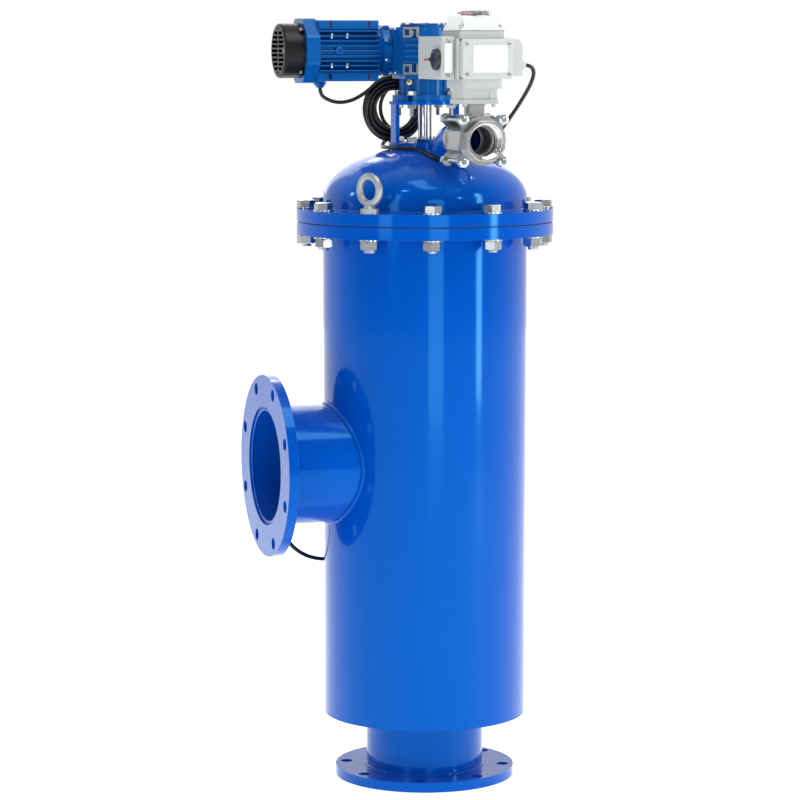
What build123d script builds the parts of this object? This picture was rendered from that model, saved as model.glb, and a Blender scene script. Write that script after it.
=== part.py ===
from build123d import *
import math
import os

# Suction-scanner wastewater filter.
# Millimetres. The origin is the centre of the inlet flange's bottom face, Z runs up the
# vessel's axis, the outlet points along -X and the drain valve along -Y.

# Fits
weld_gap = 0.2
running_gap = 0.05
body_gap = 0.3
bolt_gap = 1.0

# Vessel and its two pipe connections
vessel_radius = 188.5
vessel_wall = 6.0
bottom_plate_thickness = 14.0
shell_length = 886.0
inlet_length = 120.0
pipe_radius = 109.5
pipe_wall = 6.0
pipe_flange_radius = 167.5
pipe_flange_thickness = 18.0
pipe_bolt_circle_radius = 147.5
pipe_bolt_hole_radius = 11.0
pipe_bolt_count = 8
pipe_end_recess = 5.0
outlet_height = 597.0
outlet_reach = 310.0

# Bolted cover joint
bolt_circle_stand_off = 31.5
flange_edge_margin = 17.5
body_flange_thickness = 22.0
gasket_thickness = 2.0
gasket_inset = 2.5
cover_bolt_radius = 10.0
cover_bolt_circle_radius = vessel_radius + bolt_circle_stand_off
body_flange_radius = cover_bolt_circle_radius + flange_edge_margin
cover_bolt_count = 12
cover_bolt_first_angle = 15.0
cover_head_flats = 30.0
cover_head_height = 13.0
cover_nut_height = 16.0
cover_washer_radius = 18.5
cover_washer_thickness = 3.0
cover_thread_past_nut = 5.0
eye_bolt_places = (1, 7)
eye_ring_radius = 24.5
eye_wire_radius = 6.75
eye_collar_radius = 17.0
eye_collar_height = 9.0
eye_height = 42.0
eye_turn = 72.0

# Dome
cover_skirt = 21.0
dome_rise = 94.25
dome_boss_radius = 39.7
dome_boss_depth = 34.0

# Screen and its seats
annulus_width = 33.5
screen_radius = vessel_radius - vessel_wall - annulus_width
cage_thickness = 3.0
wire_thickness = 1.6
screen_ring_width = 37.0
screen_ring_inner_radius = screen_radius - screen_ring_width
screen_ring_overlap = 4.0
screen_ring_height = 16.0
screen_seal_thickness = 3.0
cage_hoop_count = 6
cage_hoop_height = 12.0
cage_bar_count = 12
cage_bar_width = 20.0
chamber_plate_thickness = 10.0
chamber_plate_drop = 20.0
ledge_width = 18.0
ledge_height = 14.0
plate_screw_count = 8
plate_screw_radius = 4.0

# Scanner
scanner_radius = 30.0
scanner_wall = 4.0
scanner_rise = 45.0
nozzle_count = 6
nozzle_radius = 13.0
nozzle_wall = 2.5
nozzle_mouth_width = 26.0
nozzle_mouth_depth = 13.0
nozzle_slot_width = 12.0
nozzle_screen_gap = 2.5
nozzle_overlap = 8.0
journal_radius = 12.0
journal_length = 34.0
bush_wall = 5.0
spider_arm_count = 3
spider_arm_width = 12.0
spider_arm_height = 12.0
hub_height = 24.0
shaft_radius = 12.5
shaft_engagement = 20.0

# Shaft seal
stuffing_bore_radius = 16.5
stuffing_floor = 6.0
packing_ring_count = 4
packing_height = 4.5
follower_flange_radius = 24.0
follower_flange_thickness = 6.0
follower_bolt_circle_radius = 20.3
follower_bolt_count = 4
follower_bolt_radius = 2.0

# Drive yoke
pad_radius = 66.5
pad_edge = 7.0
yoke_plate_thickness = 6.0
yoke_leg_height = 70.0
yoke_leg_thickness = 7.6
yoke_leg_width = 32.0
yoke_leg_offset = 57.8
yoke_bolt_circle_radius = 54.0
yoke_bolt_radius = 5.0
yoke_bolt_depth = 3.0

# Worm gearbox
flange_plate_radius = 60.0
flange_plate_thickness = 11.0
flange_bolt_circle_radius = 53.5
flange_bolt_radius = 4.0
flange_bolt_length = 38.0
flange_bolt_turn = 45.0
gearbox_neck_radius = 45.0
gearbox_neck_height = 30.0
neck_rib_count = 16
shoulder_half_width = 50.0
shoulder_height = 8.0
gearbox_half_height = 43.0
gearbox_half_width = 62.0
foot_distance = 60.0
foot_pad_size = 19.0
foot_pad_length = 30.0
gear_casing_radius = 54.0
worm_offset = 50.0
worm_casing_height = 34.0
output_cover_radius = 47.0
output_cover_thickness = 5.0
gear_module = 1.5
wheel_teeth = 50
worm_starts = 1
wheel_face_width = 20.0
tooth_backlash = 0.5
worm_length = 34.0
wheel_hub_radius = 20.0
bearing_width = 12.0
bearing_ring_wall = 12.0
worm_shaft_radius = 7.0

# Motor
motor_flange_radius = 44.0
motor_flange_thickness = 16.0
motor_cone_length = 13.0
motor_body_length = 114.0
motor_body_radius = 49.0
motor_half_height = 55.5
motor_bore_radius = 42.0
motor_fin_count = 9
motor_fin_pitch = 9.0
motor_fin_thickness = 2.6
end_ring_length = 25.0
end_ring_flats = 118.0
cowl_radius = 50.0
cowl_length = 39.0
cowl_wall = 2.0
grille_slot_width = 5.5
grille_bar_width = 2.6
fan_radius = 41.0
fan_blade_count = 7
rotor_radius = 27.0
rotor_length = 60.0
rotor_air_gap = 0.5
terminal_box_size = 78.0
terminal_box_depth = 34.0
terminal_box_drop = 15.0
terminal_box_shift = 12.0
gland_shift = 20.0
gland_radius = 11.5

# Drain branch
drain_x = 7.0
drain_pipe_radius = 30.15
drain_pipe_wall = 3.5
elbow_radius = 76.0
elbow_foot_y = -89.4
valve_rise = 17.75
stem_y = -255.0
valve_half_length = 65.0
cap_face = 35.0
cap_flange_thickness = 10.0
cap_flange_radius = 43.0
cap_lug_radius = 9.5
cap_octagon_flats = 71.0
valve_bolt_square = 74.0
valve_bolt_radius = 5.0
valve_bore_radius = 25.0
port_thread_radius = 29.5
port_thread_length = 24.0
valve_body_flats = 80.0
ball_radius = 34.0
stem_radius = 8.0
seat_outer_radius = 31.5
seat_depth = 12.0
valve_pad_size = 58.0
valve_pad_height = 44.0
valve_pad_thickness = 7.0
bracket_height = 20.0
bracket_size_x = 24.0
bracket_size_y = 40.0

# Electric actuator above the valve stem
base_plate_size = 70.0
base_plate_thickness = 8.0
lower_neck_size = 66.0
lower_neck_height = 19.0
upper_neck_size_x = 76.0
upper_neck_size_y = 88.0
upper_neck_height = 17.0
actuator_body_width = 102.0
actuator_body_depth = 122.0
actuator_body_front = 57.0
actuator_body_height = 70.0
front_cover_width = 94.0
front_cover_thickness = 16.0
side_cover_thickness = 24.0
side_cover_depth = 133.0
side_cover_front = 43.0
side_cover_height = 75.0
actuator_band_height = 14.0
top_cover_width = 84.0
top_cover_depth = 98.0
top_cover_front = 40.0
top_cover_height = 25.0
top_cover_draft = 9.0
window_radius = 32.0
window_height = 10.0
window_wall = 2.0
indicator_radius = 25.0
knob_radius = 19.0
knob_height = 8.0
knob_y = -275.0
knob_z_in_cover = 35.0
cable_radius = 3.5

# Coiled spare cable behind the yoke
coil_x = -27.0
coil_y = 100.0
coil_z = 1249.0
coil_half_width = 47.0
coil_half_height = 51.0
coil_tube_radius = 15.0
coil_turn = -18.4

# Pressure tapping and switch
hose_radius = 4.0
switch_housing_depth = 40.0
switch_pad_depth = 5.5
switch_pad_sink = 8.0
switch_y = vessel_radius + switch_pad_depth + switch_housing_depth / 2
switch_z = 420.0

low = (Align.CENTER, Align.CENTER, Align.MIN)
high = (Align.CENTER, Align.CENTER, Align.MAX)

# Heights up the vessel, each from the piece below it
bottom_plate_top = inlet_length + bottom_plate_thickness
shell_top = bottom_plate_top + shell_length
gasket_bottom = shell_top + body_flange_thickness
cover_bottom = gasket_bottom + gasket_thickness
cover_top = cover_bottom + body_flange_thickness
dome_base = cover_top + cover_skirt
dome_top = dome_base + dome_rise
yoke_base_top = dome_top + yoke_plate_thickness
yoke_top_bottom = yoke_base_top + yoke_leg_height
yoke_top_top = yoke_top_bottom + yoke_plate_thickness
flange_plate_top = yoke_top_top + flange_plate_thickness
neck_top = flange_plate_top + gearbox_neck_height
gearbox_bottom = neck_top + shoulder_height
worm_z = gearbox_bottom + gearbox_half_height
gearbox_top = worm_z + gearbox_half_height
output_cover_top = gearbox_top + output_cover_thickness

vessel_bore = vessel_radius - vessel_wall
pipe_bore = pipe_radius - pipe_wall
chamber_plate_bottom = shell_top - chamber_plate_drop
chamber_plate_top = chamber_plate_bottom + chamber_plate_thickness
cage_bottom = bottom_plate_top + screen_seal_thickness + screen_ring_height
cage_top = chamber_plate_bottom - screen_seal_thickness - screen_ring_height
wire_outer_radius = screen_radius - cage_thickness
screen_inner_radius = wire_outer_radius - wire_thickness
scanner_bottom = cage_bottom + spider_arm_height + journal_length
scanner_top = chamber_plate_top + scanner_rise
nozzle_mouth_reach = screen_inner_radius - nozzle_screen_gap
stuffing_bottom = dome_top - dome_boss_depth
packing_bottom = stuffing_bottom + stuffing_floor
packing_top = packing_bottom + packing_ring_count * packing_height
follower_top = yoke_base_top + follower_flange_thickness

valve_z = dome_top + valve_rise
elbow_end_y = elbow_foot_y - elbow_radius
valve_pad_top = valve_z + valve_pad_height
bracket_top = valve_pad_top + bracket_height
base_plate_top = bracket_top + base_plate_thickness
lower_neck_top = base_plate_top + lower_neck_height
upper_neck_top = lower_neck_top + upper_neck_height
actuator_body_top = upper_neck_top + actuator_body_height
band_top = actuator_body_top + actuator_band_height
top_cover_top = band_top + top_cover_height
window_top = top_cover_top + window_height

# Stations along the motor's axis, from the gearbox outwards
motor_joint_x = -foot_distance
cone_start_x = motor_joint_x - motor_flange_thickness
body_front_x = cone_start_x - motor_cone_length
body_rear_x = body_front_x - motor_body_length
ring_rear_x = body_rear_x - end_ring_length
cowl_rear_x = ring_rear_x - cowl_length

wheel_pitch_radius = gear_module * wheel_teeth / 2
worm_pitch_radius = worm_offset - wheel_pitch_radius
worm_lead = math.pi * gear_module * worm_starts
tooth_height = 2.2 * gear_module
bearing_outer_radius = wheel_hub_radius + bearing_ring_wall
worm_bearing_radius = worm_shaft_radius + bearing_ring_wall - 2.0


def rod(radius, bottom, top):
    return Pos(0, 0, bottom) * Cylinder(radius, top - bottom, align=low)


def pipe(outer, inner, bottom, top):
    return rod(outer, bottom, top) - rod(inner, bottom - 1, top + 1)


def along_x(shape):
    """Turn a shape made along +Z so that its Z runs along +X."""
    return Rot(0, 90, 0) * shape


def rod_x(radius, start, end):
    return along_x(rod(radius, start, end))


def motor_line(shape):
    """Move a shape made on the X axis to the motor's axis."""
    return Pos(0, worm_offset, worm_z) * shape


def ring_places(count, radius, first_angle):
    places = []
    for number in range(count):
        angle = first_angle + number * 360 / count
        places.append(Rot(0, 0, angle) * Pos(radius, 0, 0))
    return places


def cut_ring(plate, count, circle_radius, hole_radius, first_angle, bottom, top):
    for place in ring_places(count, circle_radius, first_angle):
        plate -= place * rod(hole_radius, bottom - 1, top + 1)
    return plate


def block(size_x, size_y, bottom, top):
    return Pos(0, 0, bottom) * Box(size_x, size_y, top - bottom, align=low)


def rounded_block(size_x, size_y, bottom, top, radius):
    profile = RectangleRounded(size_x, size_y, radius)
    return Pos(0, 0, bottom) * extrude(profile, top - bottom)


def hexagon(flats, bottom, top):
    profile = RegularPolygon(flats / 2, 6, major_radius=False)
    return Pos(0, 0, bottom) * extrude(profile, top - bottom)


def hex_bolt(radius, length, flats, head):
    """A hexagon bolt whose head stands on z = 0 and whose shank goes down."""
    return hexagon(flats, 0, head) + rod(radius, -length, 0)


def hex_nut(radius, flats, height):
    """A nut hanging below z = 0 on a thread of the given radius."""
    return hexagon(flats, -height, 0) - rod(radius + running_gap, -height - 1, 1)


def bent_pipe(points, radii, radius):
    path = FilletPolyline(*points, radius=radii)
    return sweep(path.location_at(0) * Circle(radius), path)


def pipe_flange():
    """Slip-on flange lying on z = 0, its sealing face down, welded round the pipe."""
    flange = pipe(pipe_flange_radius, pipe_radius, 0, pipe_flange_thickness)
    first = 180 / pipe_bolt_count
    return cut_ring(flange, pipe_bolt_count, pipe_bolt_circle_radius, pipe_bolt_hole_radius,
                    first, 0, pipe_flange_thickness)


def to_outlet(shape):
    """Carry a connection made on the inlet's axis to the outlet's."""
    return Pos(-outlet_reach, 0, outlet_height) * Rot(0, 90, 0) * shape


def inlet_nozzle():
    return pipe_flange() + pipe(pipe_radius, pipe_bore, pipe_end_recess, inlet_length)


def outlet_nozzle():
    """Side connection, cut to sit on the shell, with the hose socket on its lower back."""
    nozzle = to_outlet(pipe_flange() + pipe(pipe_radius, pipe_bore, pipe_end_recess, outlet_reach))
    nozzle += pressure_socket()
    return nozzle - rod(vessel_radius + weld_gap, 0, shell_top)


def vessel_shell():
    shell = pipe(vessel_radius, vessel_bore, bottom_plate_top, shell_top)
    shell += pipe(vessel_radius, pipe_bore, inlet_length, bottom_plate_top)
    return shell - to_outlet(rod(pipe_bore, 0, outlet_reach)) + plate_ledge()


def body_flange(bottom):
    flange = pipe(body_flange_radius, vessel_bore, bottom, bottom + body_flange_thickness)
    return cut_ring(flange, cover_bolt_count, cover_bolt_circle_radius,
                    cover_bolt_radius + bolt_gap, cover_bolt_first_angle,
                    bottom, bottom + body_flange_thickness)


def main_gasket():
    gasket = pipe(body_flange_radius - gasket_inset, vessel_bore, gasket_bottom, cover_bottom)
    return cut_ring(gasket, cover_bolt_count, cover_bolt_circle_radius,
                    cover_bolt_radius + bolt_gap, cover_bolt_first_angle,
                    gasket_bottom, cover_bottom)


def dome_solid(inset):
    """The head's solid: a straight skirt and half an ellipsoid, drawn in by the inset."""
    radius = vessel_radius - inset
    rise = dome_rise - inset
    quarter = EllipticalCenterArc((0, dome_base), radius, rise, start_angle=0, arc_size=90)
    outline = quarter + Polyline((0, dome_base + rise), (0, cover_top), (radius, cover_top),
                                 (radius, dome_base))
    return revolve(Plane.XZ * make_face(outline), Axis.Z)


def drain_route():
    foot = valve_z - elbow_radius - 8
    corner = (drain_x, elbow_foot_y, valve_z)
    end = (drain_x, stem_y + valve_half_length - 14, valve_z)
    return [(drain_x, elbow_foot_y, foot), corner, end]


def drain_elbow():
    outer = bent_pipe(drain_route(), elbow_radius, drain_pipe_radius)
    inner = bent_pipe(drain_route(), elbow_radius, drain_pipe_radius - drain_pipe_wall)
    return outer - inner


def cover_dome():
    dome = dome_solid(0) - dome_solid(vessel_wall)
    dome -= block(2 * vessel_radius, 2 * vessel_radius, cover_top - 1, cover_top)
    dome += drive_pad()
    dome -= rod(shaft_radius + body_gap, stuffing_bottom - 1, dome_top + 1)
    dome -= rod(stuffing_bore_radius, packing_bottom, dome_top + 1)
    dome = cut_ring(dome, 4, yoke_bolt_circle_radius, yoke_bolt_radius + running_gap, 45,
                    dome_top - yoke_bolt_depth + 1, dome_top)
    return dome - bent_pipe(drain_route(), elbow_radius, drain_pipe_radius + body_gap)


def drive_pad():
    """Turned pad on the crown of the dome, with the stuffing box's boss below it."""
    pad = rod(pad_radius, dome_top - pad_edge, dome_top) - dome_solid(vessel_wall / 2)
    return pad + rod(dome_boss_radius, stuffing_bottom, dome_top)


def cover_bolt_angles(eyes):
    angles = []
    for number in range(cover_bolt_count):
        if (number in eye_bolt_places) == eyes:
            angles.append(cover_bolt_first_angle + number * 360 / cover_bolt_count)
    return angles


def at_cover_bolt(angle, height, shape):
    return Rot(0, 0, angle) * Pos(cover_bolt_circle_radius, 0, height) * shape


def cover_grip():
    return cover_bottom + body_flange_thickness - shell_top + 2 * cover_washer_thickness


def cover_bolts():
    length = cover_grip() + cover_nut_height + cover_thread_past_nut
    bolt = hex_bolt(cover_bolt_radius, length, cover_head_flats, cover_head_height)
    height = cover_top + cover_washer_thickness
    return [at_cover_bolt(angle, height, bolt) for angle in cover_bolt_angles(False)]


def cover_nuts():
    nut = hex_nut(cover_bolt_radius, cover_head_flats, cover_nut_height)
    height = shell_top - cover_washer_thickness
    every = cover_bolt_angles(False) + cover_bolt_angles(True)
    return [at_cover_bolt(angle, height, nut) for angle in every]


def cover_washers():
    hole = cover_bolt_radius + running_gap
    washer = pipe(cover_washer_radius, hole, 0, cover_washer_thickness)
    washers = []
    for angle in cover_bolt_angles(False):
        washers.append(at_cover_bolt(angle, cover_top, washer))
    for angle in cover_bolt_angles(False) + cover_bolt_angles(True):
        washers.append(at_cover_bolt(angle, shell_top - cover_washer_thickness, washer))
    return washers


def eye_bolts():
    length = cover_grip() - cover_washer_thickness + cover_nut_height + cover_thread_past_nut
    eye = rod(eye_collar_radius, 0, eye_collar_height)
    eye += Pos(0, 0, eye_collar_height) * Cone(eye_collar_radius * 0.7, eye_wire_radius, 9, align=low)
    eye += Pos(0, 0, eye_height) * Rot(90, 0, 0) * Torus(eye_ring_radius, eye_wire_radius)
    eye += rod(cover_bolt_radius, -length, 0)
    turned = Rot(0, 0, eye_turn) * eye
    return [at_cover_bolt(angle, cover_top, turned) for angle in cover_bolt_angles(True)]


def screen_seals():
    outer = screen_radius + screen_ring_overlap
    lower = pipe(outer, screen_ring_inner_radius + 2, bottom_plate_top,
                 bottom_plate_top + screen_seal_thickness)
    upper = pipe(outer, screen_inner_radius - 8, chamber_plate_bottom - screen_seal_thickness,
                 chamber_plate_bottom)
    return [lower, upper]


def screen_ring(bottom, inner):
    return pipe(screen_radius + screen_ring_overlap, inner, bottom, bottom + screen_ring_height)


def screen_cage():
    """Welded support cage: end rings, hoops round the wire and upright flat bars."""
    upper_inner = screen_inner_radius - 8
    parts = [screen_ring(cage_bottom - screen_ring_height, screen_ring_inner_radius),
             screen_ring(cage_top, upper_inner)]
    pitch = (cage_top - cage_bottom) / (cage_hoop_count + 1)
    for number in range(1, cage_hoop_count + 1):
        bottom = cage_bottom + number * pitch - cage_hoop_height / 2
        parts.append(pipe(screen_radius - body_gap, wire_outer_radius, bottom, bottom + cage_hoop_height))
    middle = screen_radius + cage_thickness / 2
    for place in ring_places(cage_bar_count, middle, 0):
        bar = Box(cage_thickness, cage_bar_width, cage_top - cage_bottom, align=low)
        parts.append(Pos(0, 0, cage_bottom) * place * bar)
    return parts


def wire_screen():
    return pipe(wire_outer_radius - weld_gap, screen_inner_radius, cage_bottom, cage_top)


def plate_ledge():
    top = chamber_plate_bottom
    ledge = pipe(vessel_bore + 1, vessel_bore - ledge_width, top - ledge_height, top)
    return cut_ring(ledge, plate_screw_count, vessel_bore - ledge_width / 2,
                    plate_screw_radius + running_gap, 0, top - ledge_height, top)


def chamber_plate():
    plate = pipe(vessel_bore - body_gap, scanner_radius + bush_wall + weld_gap,
                 chamber_plate_bottom, chamber_plate_top)
    return cut_ring(plate, plate_screw_count, vessel_bore - ledge_width / 2,
                    plate_screw_radius + body_gap, 0, chamber_plate_bottom, chamber_plate_top)


def plate_screws():
    length = chamber_plate_thickness + ledge_height - 2
    screw = hex_bolt(plate_screw_radius, length, 3.25 * plate_screw_radius, 5.5)
    places = ring_places(plate_screw_count, vessel_bore - ledge_width / 2, 0)
    return [Pos(0, 0, chamber_plate_top) * place * screw for place in places]


def upper_bush():
    inner = scanner_radius + running_gap
    outer = scanner_radius + bush_wall
    bush = pipe(outer, inner, chamber_plate_bottom - 6, chamber_plate_top + 4)
    return bush + pipe(outer + 8, inner, chamber_plate_top, chamber_plate_top + 4)


def bottom_spider():
    """Hub of the lower bearing and the flat arms that lie on the cage's bottom ring."""
    hub_radius = journal_radius + 2 * bush_wall
    parts = [pipe(hub_radius, journal_radius + bush_wall + weld_gap, cage_bottom, cage_bottom + journal_length)]
    start = hub_radius + weld_gap
    reach = screen_inner_radius - 4 - start
    for number in range(spider_arm_count):
        arm = Pos(start + reach / 2, 0, cage_bottom) * Box(reach, spider_arm_width, spider_arm_height, align=low)
        parts.append(Rot(0, 0, 90 + number * 360 / spider_arm_count) * arm)
    return parts


def lower_bush():
    return pipe(journal_radius + bush_wall, journal_radius + running_gap,
                cage_bottom, cage_bottom + journal_length)


def scanner_tube():
    """The hollow collector: suction ports down its length, discharge windows on top."""
    tube = pipe(scanner_radius, scanner_radius - scanner_wall, scanner_bottom, scanner_top)
    for height, angle in nozzle_places():
        tube -= Pos(0, 0, height) * Rot(0, 0, angle) * rod_x(nozzle_radius - nozzle_wall, 0, scanner_radius + 1)
    window_low = chamber_plate_top + 10
    window = Pos(0, 0, window_low) * Box(3 * scanner_radius, 22, scanner_top - 8 - window_low, align=low)
    for turn in (0, 60, 120):
        tube -= Rot(0, 0, turn) * window
    return tube + lower_journal() + scanner_hub()


def nozzle_places():
    pitch = (cage_top - cage_bottom) / nozzle_count
    return [(cage_bottom + (number + 0.5) * pitch, number * 360 / nozzle_count * 2 + 30 * (number // 3))
            for number in range(nozzle_count)]


def suction_nozzles():
    mouth_height = (cage_top - cage_bottom) / nozzle_count + nozzle_overlap
    back = nozzle_mouth_reach - nozzle_mouth_depth
    stalk = rod_x(nozzle_radius, 0, back + 1)
    mouth = Pos(back + nozzle_mouth_depth / 2, 0, 0) * Box(nozzle_mouth_depth, nozzle_mouth_width, mouth_height)
    nozzle = stalk + mouth
    nozzle &= rod(nozzle_mouth_reach, -mouth_height, mouth_height)
    nozzle -= rod_x(nozzle_radius - nozzle_wall, 0, back + nozzle_mouth_depth / 2)
    slot = Box(nozzle_mouth_depth, nozzle_slot_width, mouth_height - 8)
    nozzle -= Pos(back + nozzle_mouth_depth, 0, 0) * slot
    nozzle -= rod(scanner_radius + weld_gap, -mouth_height, mouth_height)
    placed = []
    for number, (height, angle) in enumerate(nozzle_places()):
        shift = 0
        if number == 0:
            shift = nozzle_overlap / 2 + spider_arm_height + 2
        if number == nozzle_count - 1:
            shift = -nozzle_overlap / 2 - 2
        placed.append(Pos(0, 0, height + shift) * Rot(0, 0, angle) * nozzle)
    return placed


def lower_journal():
    journal = rod(journal_radius, cage_bottom + 2, scanner_bottom)
    return journal + rod(scanner_radius, scanner_bottom - 8, scanner_bottom)


def scanner_hub():
    hub = rod(scanner_radius, scanner_top, scanner_top + hub_height)
    return hub - rod(shaft_radius + running_gap, scanner_top + hub_height - shaft_engagement,
                     scanner_top + hub_height + 1)


def drive_shaft():
    shaft = rod(shaft_radius, scanner_top + hub_height - shaft_engagement, output_cover_top)
    return chamfer(shaft.edges().filter_by(GeomType.CIRCLE), 1)


def packing_rings():
    rings = []
    for number in range(packing_ring_count):
        bottom = packing_bottom + number * packing_height
        rings.append(pipe(stuffing_bore_radius - running_gap, shaft_radius + running_gap,
                          bottom, bottom + packing_height))
    return rings


def gland_follower():
    inner = shaft_radius + body_gap
    follower = pipe(stuffing_bore_radius - body_gap, inner, packing_top, yoke_base_top)
    follower += pipe(follower_flange_radius, inner, yoke_base_top, follower_top)
    return cut_ring(follower, follower_bolt_count, follower_bolt_circle_radius,
                    follower_bolt_radius + body_gap, 45, yoke_base_top, follower_top)


def follower_bolts():
    length = follower_flange_thickness + yoke_plate_thickness - 3
    bolt = hex_bolt(follower_bolt_radius, length, 7, 3.5)
    places = ring_places(follower_bolt_count, follower_bolt_circle_radius, 45)
    return [Pos(0, 0, follower_top) * place * bolt for place in places]


def yoke_base():
    plate = pipe(pad_radius, stuffing_bore_radius, dome_top, yoke_base_top)
    plate = cut_ring(plate, follower_bolt_count, follower_bolt_circle_radius,
                     follower_bolt_radius + running_gap, 45, dome_top + 2, yoke_base_top)
    return cut_ring(plate, 4, yoke_bolt_circle_radius, yoke_bolt_radius + body_gap, 45,
                    dome_top, yoke_base_top)


def yoke_legs():
    legs = []
    for side in (-1, 1):
        leg = rounded_block(yoke_leg_thickness, yoke_leg_width, yoke_base_top, yoke_top_bottom, 1.5)
        legs.append(Pos(side * yoke_leg_offset, 0, 0) * leg)
    return legs


def yoke_top():
    plate = pipe(pad_radius, gearbox_neck_radius - 7, yoke_top_bottom, yoke_top_top)
    return cut_ring(plate, 4, flange_bolt_circle_radius, flange_bolt_radius + body_gap,
                    flange_bolt_turn, yoke_top_bottom, yoke_top_top)


def yoke_bolts():
    bolt = hex_bolt(yoke_bolt_radius, yoke_plate_thickness + yoke_bolt_depth - 0.5, 16, 7)
    places = ring_places(4, yoke_bolt_circle_radius, 45)
    return [Pos(0, 0, yoke_base_top) * place * bolt for place in places]


def gearbox_flange():
    """Output flange: slotted plate, ribbed neck and the square shoulder under the box."""
    flange = rod(flange_plate_radius, yoke_top_top, flange_plate_top)
    flange += rod(gearbox_neck_radius, flange_plate_top, neck_top)
    rib = Box(4, 6, gearbox_neck_height, align=low)
    for place in ring_places(neck_rib_count, gearbox_neck_radius, 180 / neck_rib_count):
        flange += Pos(0, 0, flange_plate_top) * place * rib
    flange += rounded_block(2 * shoulder_half_width, 2 * shoulder_half_width, neck_top, gearbox_bottom, 12)
    flange -= rod(shaft_radius + 8, yoke_top_top - 1, gearbox_bottom + 1)
    slot = SlotCenterToCenter(20, 2 * flange_bolt_radius + 1)
    for place in ring_places(4, flange_bolt_circle_radius + 10, flange_bolt_turn):
        flange -= Pos(0, 0, yoke_top_top - 1) * place * extrude(slot, flange_plate_thickness + 2)
    return flange


def flange_bolts():
    bolt = hex_bolt(flange_bolt_radius, flange_bolt_length, 13, 5.5)
    places = ring_places(4, flange_bolt_circle_radius, flange_bolt_turn)
    return [Pos(0, 0, flange_plate_top) * place * bolt for place in places]


def flange_nuts():
    nut = hex_nut(flange_bolt_radius, 13, 7)
    places = ring_places(4, flange_bolt_circle_radius, flange_bolt_turn)
    return [Pos(0, 0, yoke_top_bottom) * place * nut for place in places]


def foot_pads():
    """The four machined corner pads on the front face, each with an open bolt slot."""
    pads = None
    for side in (-1, 1):
        for end in (-1, 1):
            x = side * (gearbox_half_width - foot_pad_length / 2)
            z = worm_z + end * (gearbox_half_height - foot_pad_size / 2)
            pad = Pos(x, -foot_distance + 10, z) * Box(foot_pad_length, 20, foot_pad_size)
            pocket = Pos(x + side * 8, -foot_distance, z) * Box(9, 10, 11)
            slot = Pos(x - side * 6, -foot_distance, z - end * 4) * Box(9, 24, foot_pad_size)
            pad = pad - pocket - slot
            pads = pad if pads is None else pads + pad
    return pads


def gearbox_housing():
    """Worm gear casing: drum round the wheel, tunnel round the worm, ribbed foot in front."""
    drum = rod(gear_casing_radius, gearbox_bottom, gearbox_top)
    tunnel_depth = worm_offset + worm_casing_height
    tunnel = Pos(0, tunnel_depth / 2, worm_z) * Box(
        2 * foot_distance, tunnel_depth, 2 * gearbox_half_height - 10)
    tunnel = chamfer(tunnel.edges().filter_by(Axis.X).group_by(Axis.Y)[-1], 16)
    foot = Pos(0, -foot_distance / 2 + 3, worm_z) * Box(
        2 * gearbox_half_width - 16, foot_distance - 10, 2 * gearbox_half_height - 2)
    casing = drum + tunnel + foot + foot_pads()
    rib = Box(2 * gearbox_half_width - 6, 8, 3)
    rib_room = 2 * (gearbox_half_height - foot_pad_size) - 6
    for number in range(5):
        height = worm_z - rib_room / 2 + number * rib_room / 4
        casing += Pos(0, -foot_distance + 6, height) * rib
    casing += motor_line(rod_x(motor_flange_radius, motor_joint_x, motor_joint_x + 12)
                         & Box(4 * foot_distance, 90, 2 * gearbox_half_height))
    casing -= rod(wheel_pitch_radius + 5, worm_z - bearing_seat(), worm_z + bearing_seat())
    casing -= rod(bearing_outer_radius + weld_gap, worm_z - bearing_seat() - bearing_width,
                  worm_z + bearing_seat() + bearing_width)
    casing -= rod(wheel_hub_radius + 2, gearbox_bottom - 1, gearbox_top + 1)
    casing -= motor_line(rod_x(worm_bearing_radius + weld_gap, motor_joint_x - 1, foot_distance - 8))
    return casing + motor_line(rod_x(worm_bearing_radius + 6, foot_distance - 1, foot_distance + 4))


def bearing_seat():
    """Half the height between the two output bearings."""
    return wheel_face_width / 2 + 6


def output_bearings():
    rings = []
    ring = pipe(bearing_outer_radius, wheel_hub_radius + running_gap, 0, bearing_width)
    rings.append(Pos(0, 0, worm_z + bearing_seat()) * ring)
    rings.append(Pos(0, 0, worm_z - bearing_seat() - bearing_width) * ring)
    return rings


def output_cover():
    cover = pipe(output_cover_radius, shaft_radius + 8, gearbox_top, output_cover_top)
    return cover + pipe(shaft_radius + 16, shaft_radius + 8, gearbox_top, output_cover_top + 2)


def output_cover_screws():
    screw = hexagon(7, 0, 3.5)
    places = ring_places(8, output_cover_radius - 7, 22.5)
    return [Pos(0, 0, output_cover_top) * place * screw for place in places]


def output_seal():
    return pipe(shaft_radius + 8 - weld_gap, shaft_radius + body_gap, gearbox_top, output_cover_top)


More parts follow.
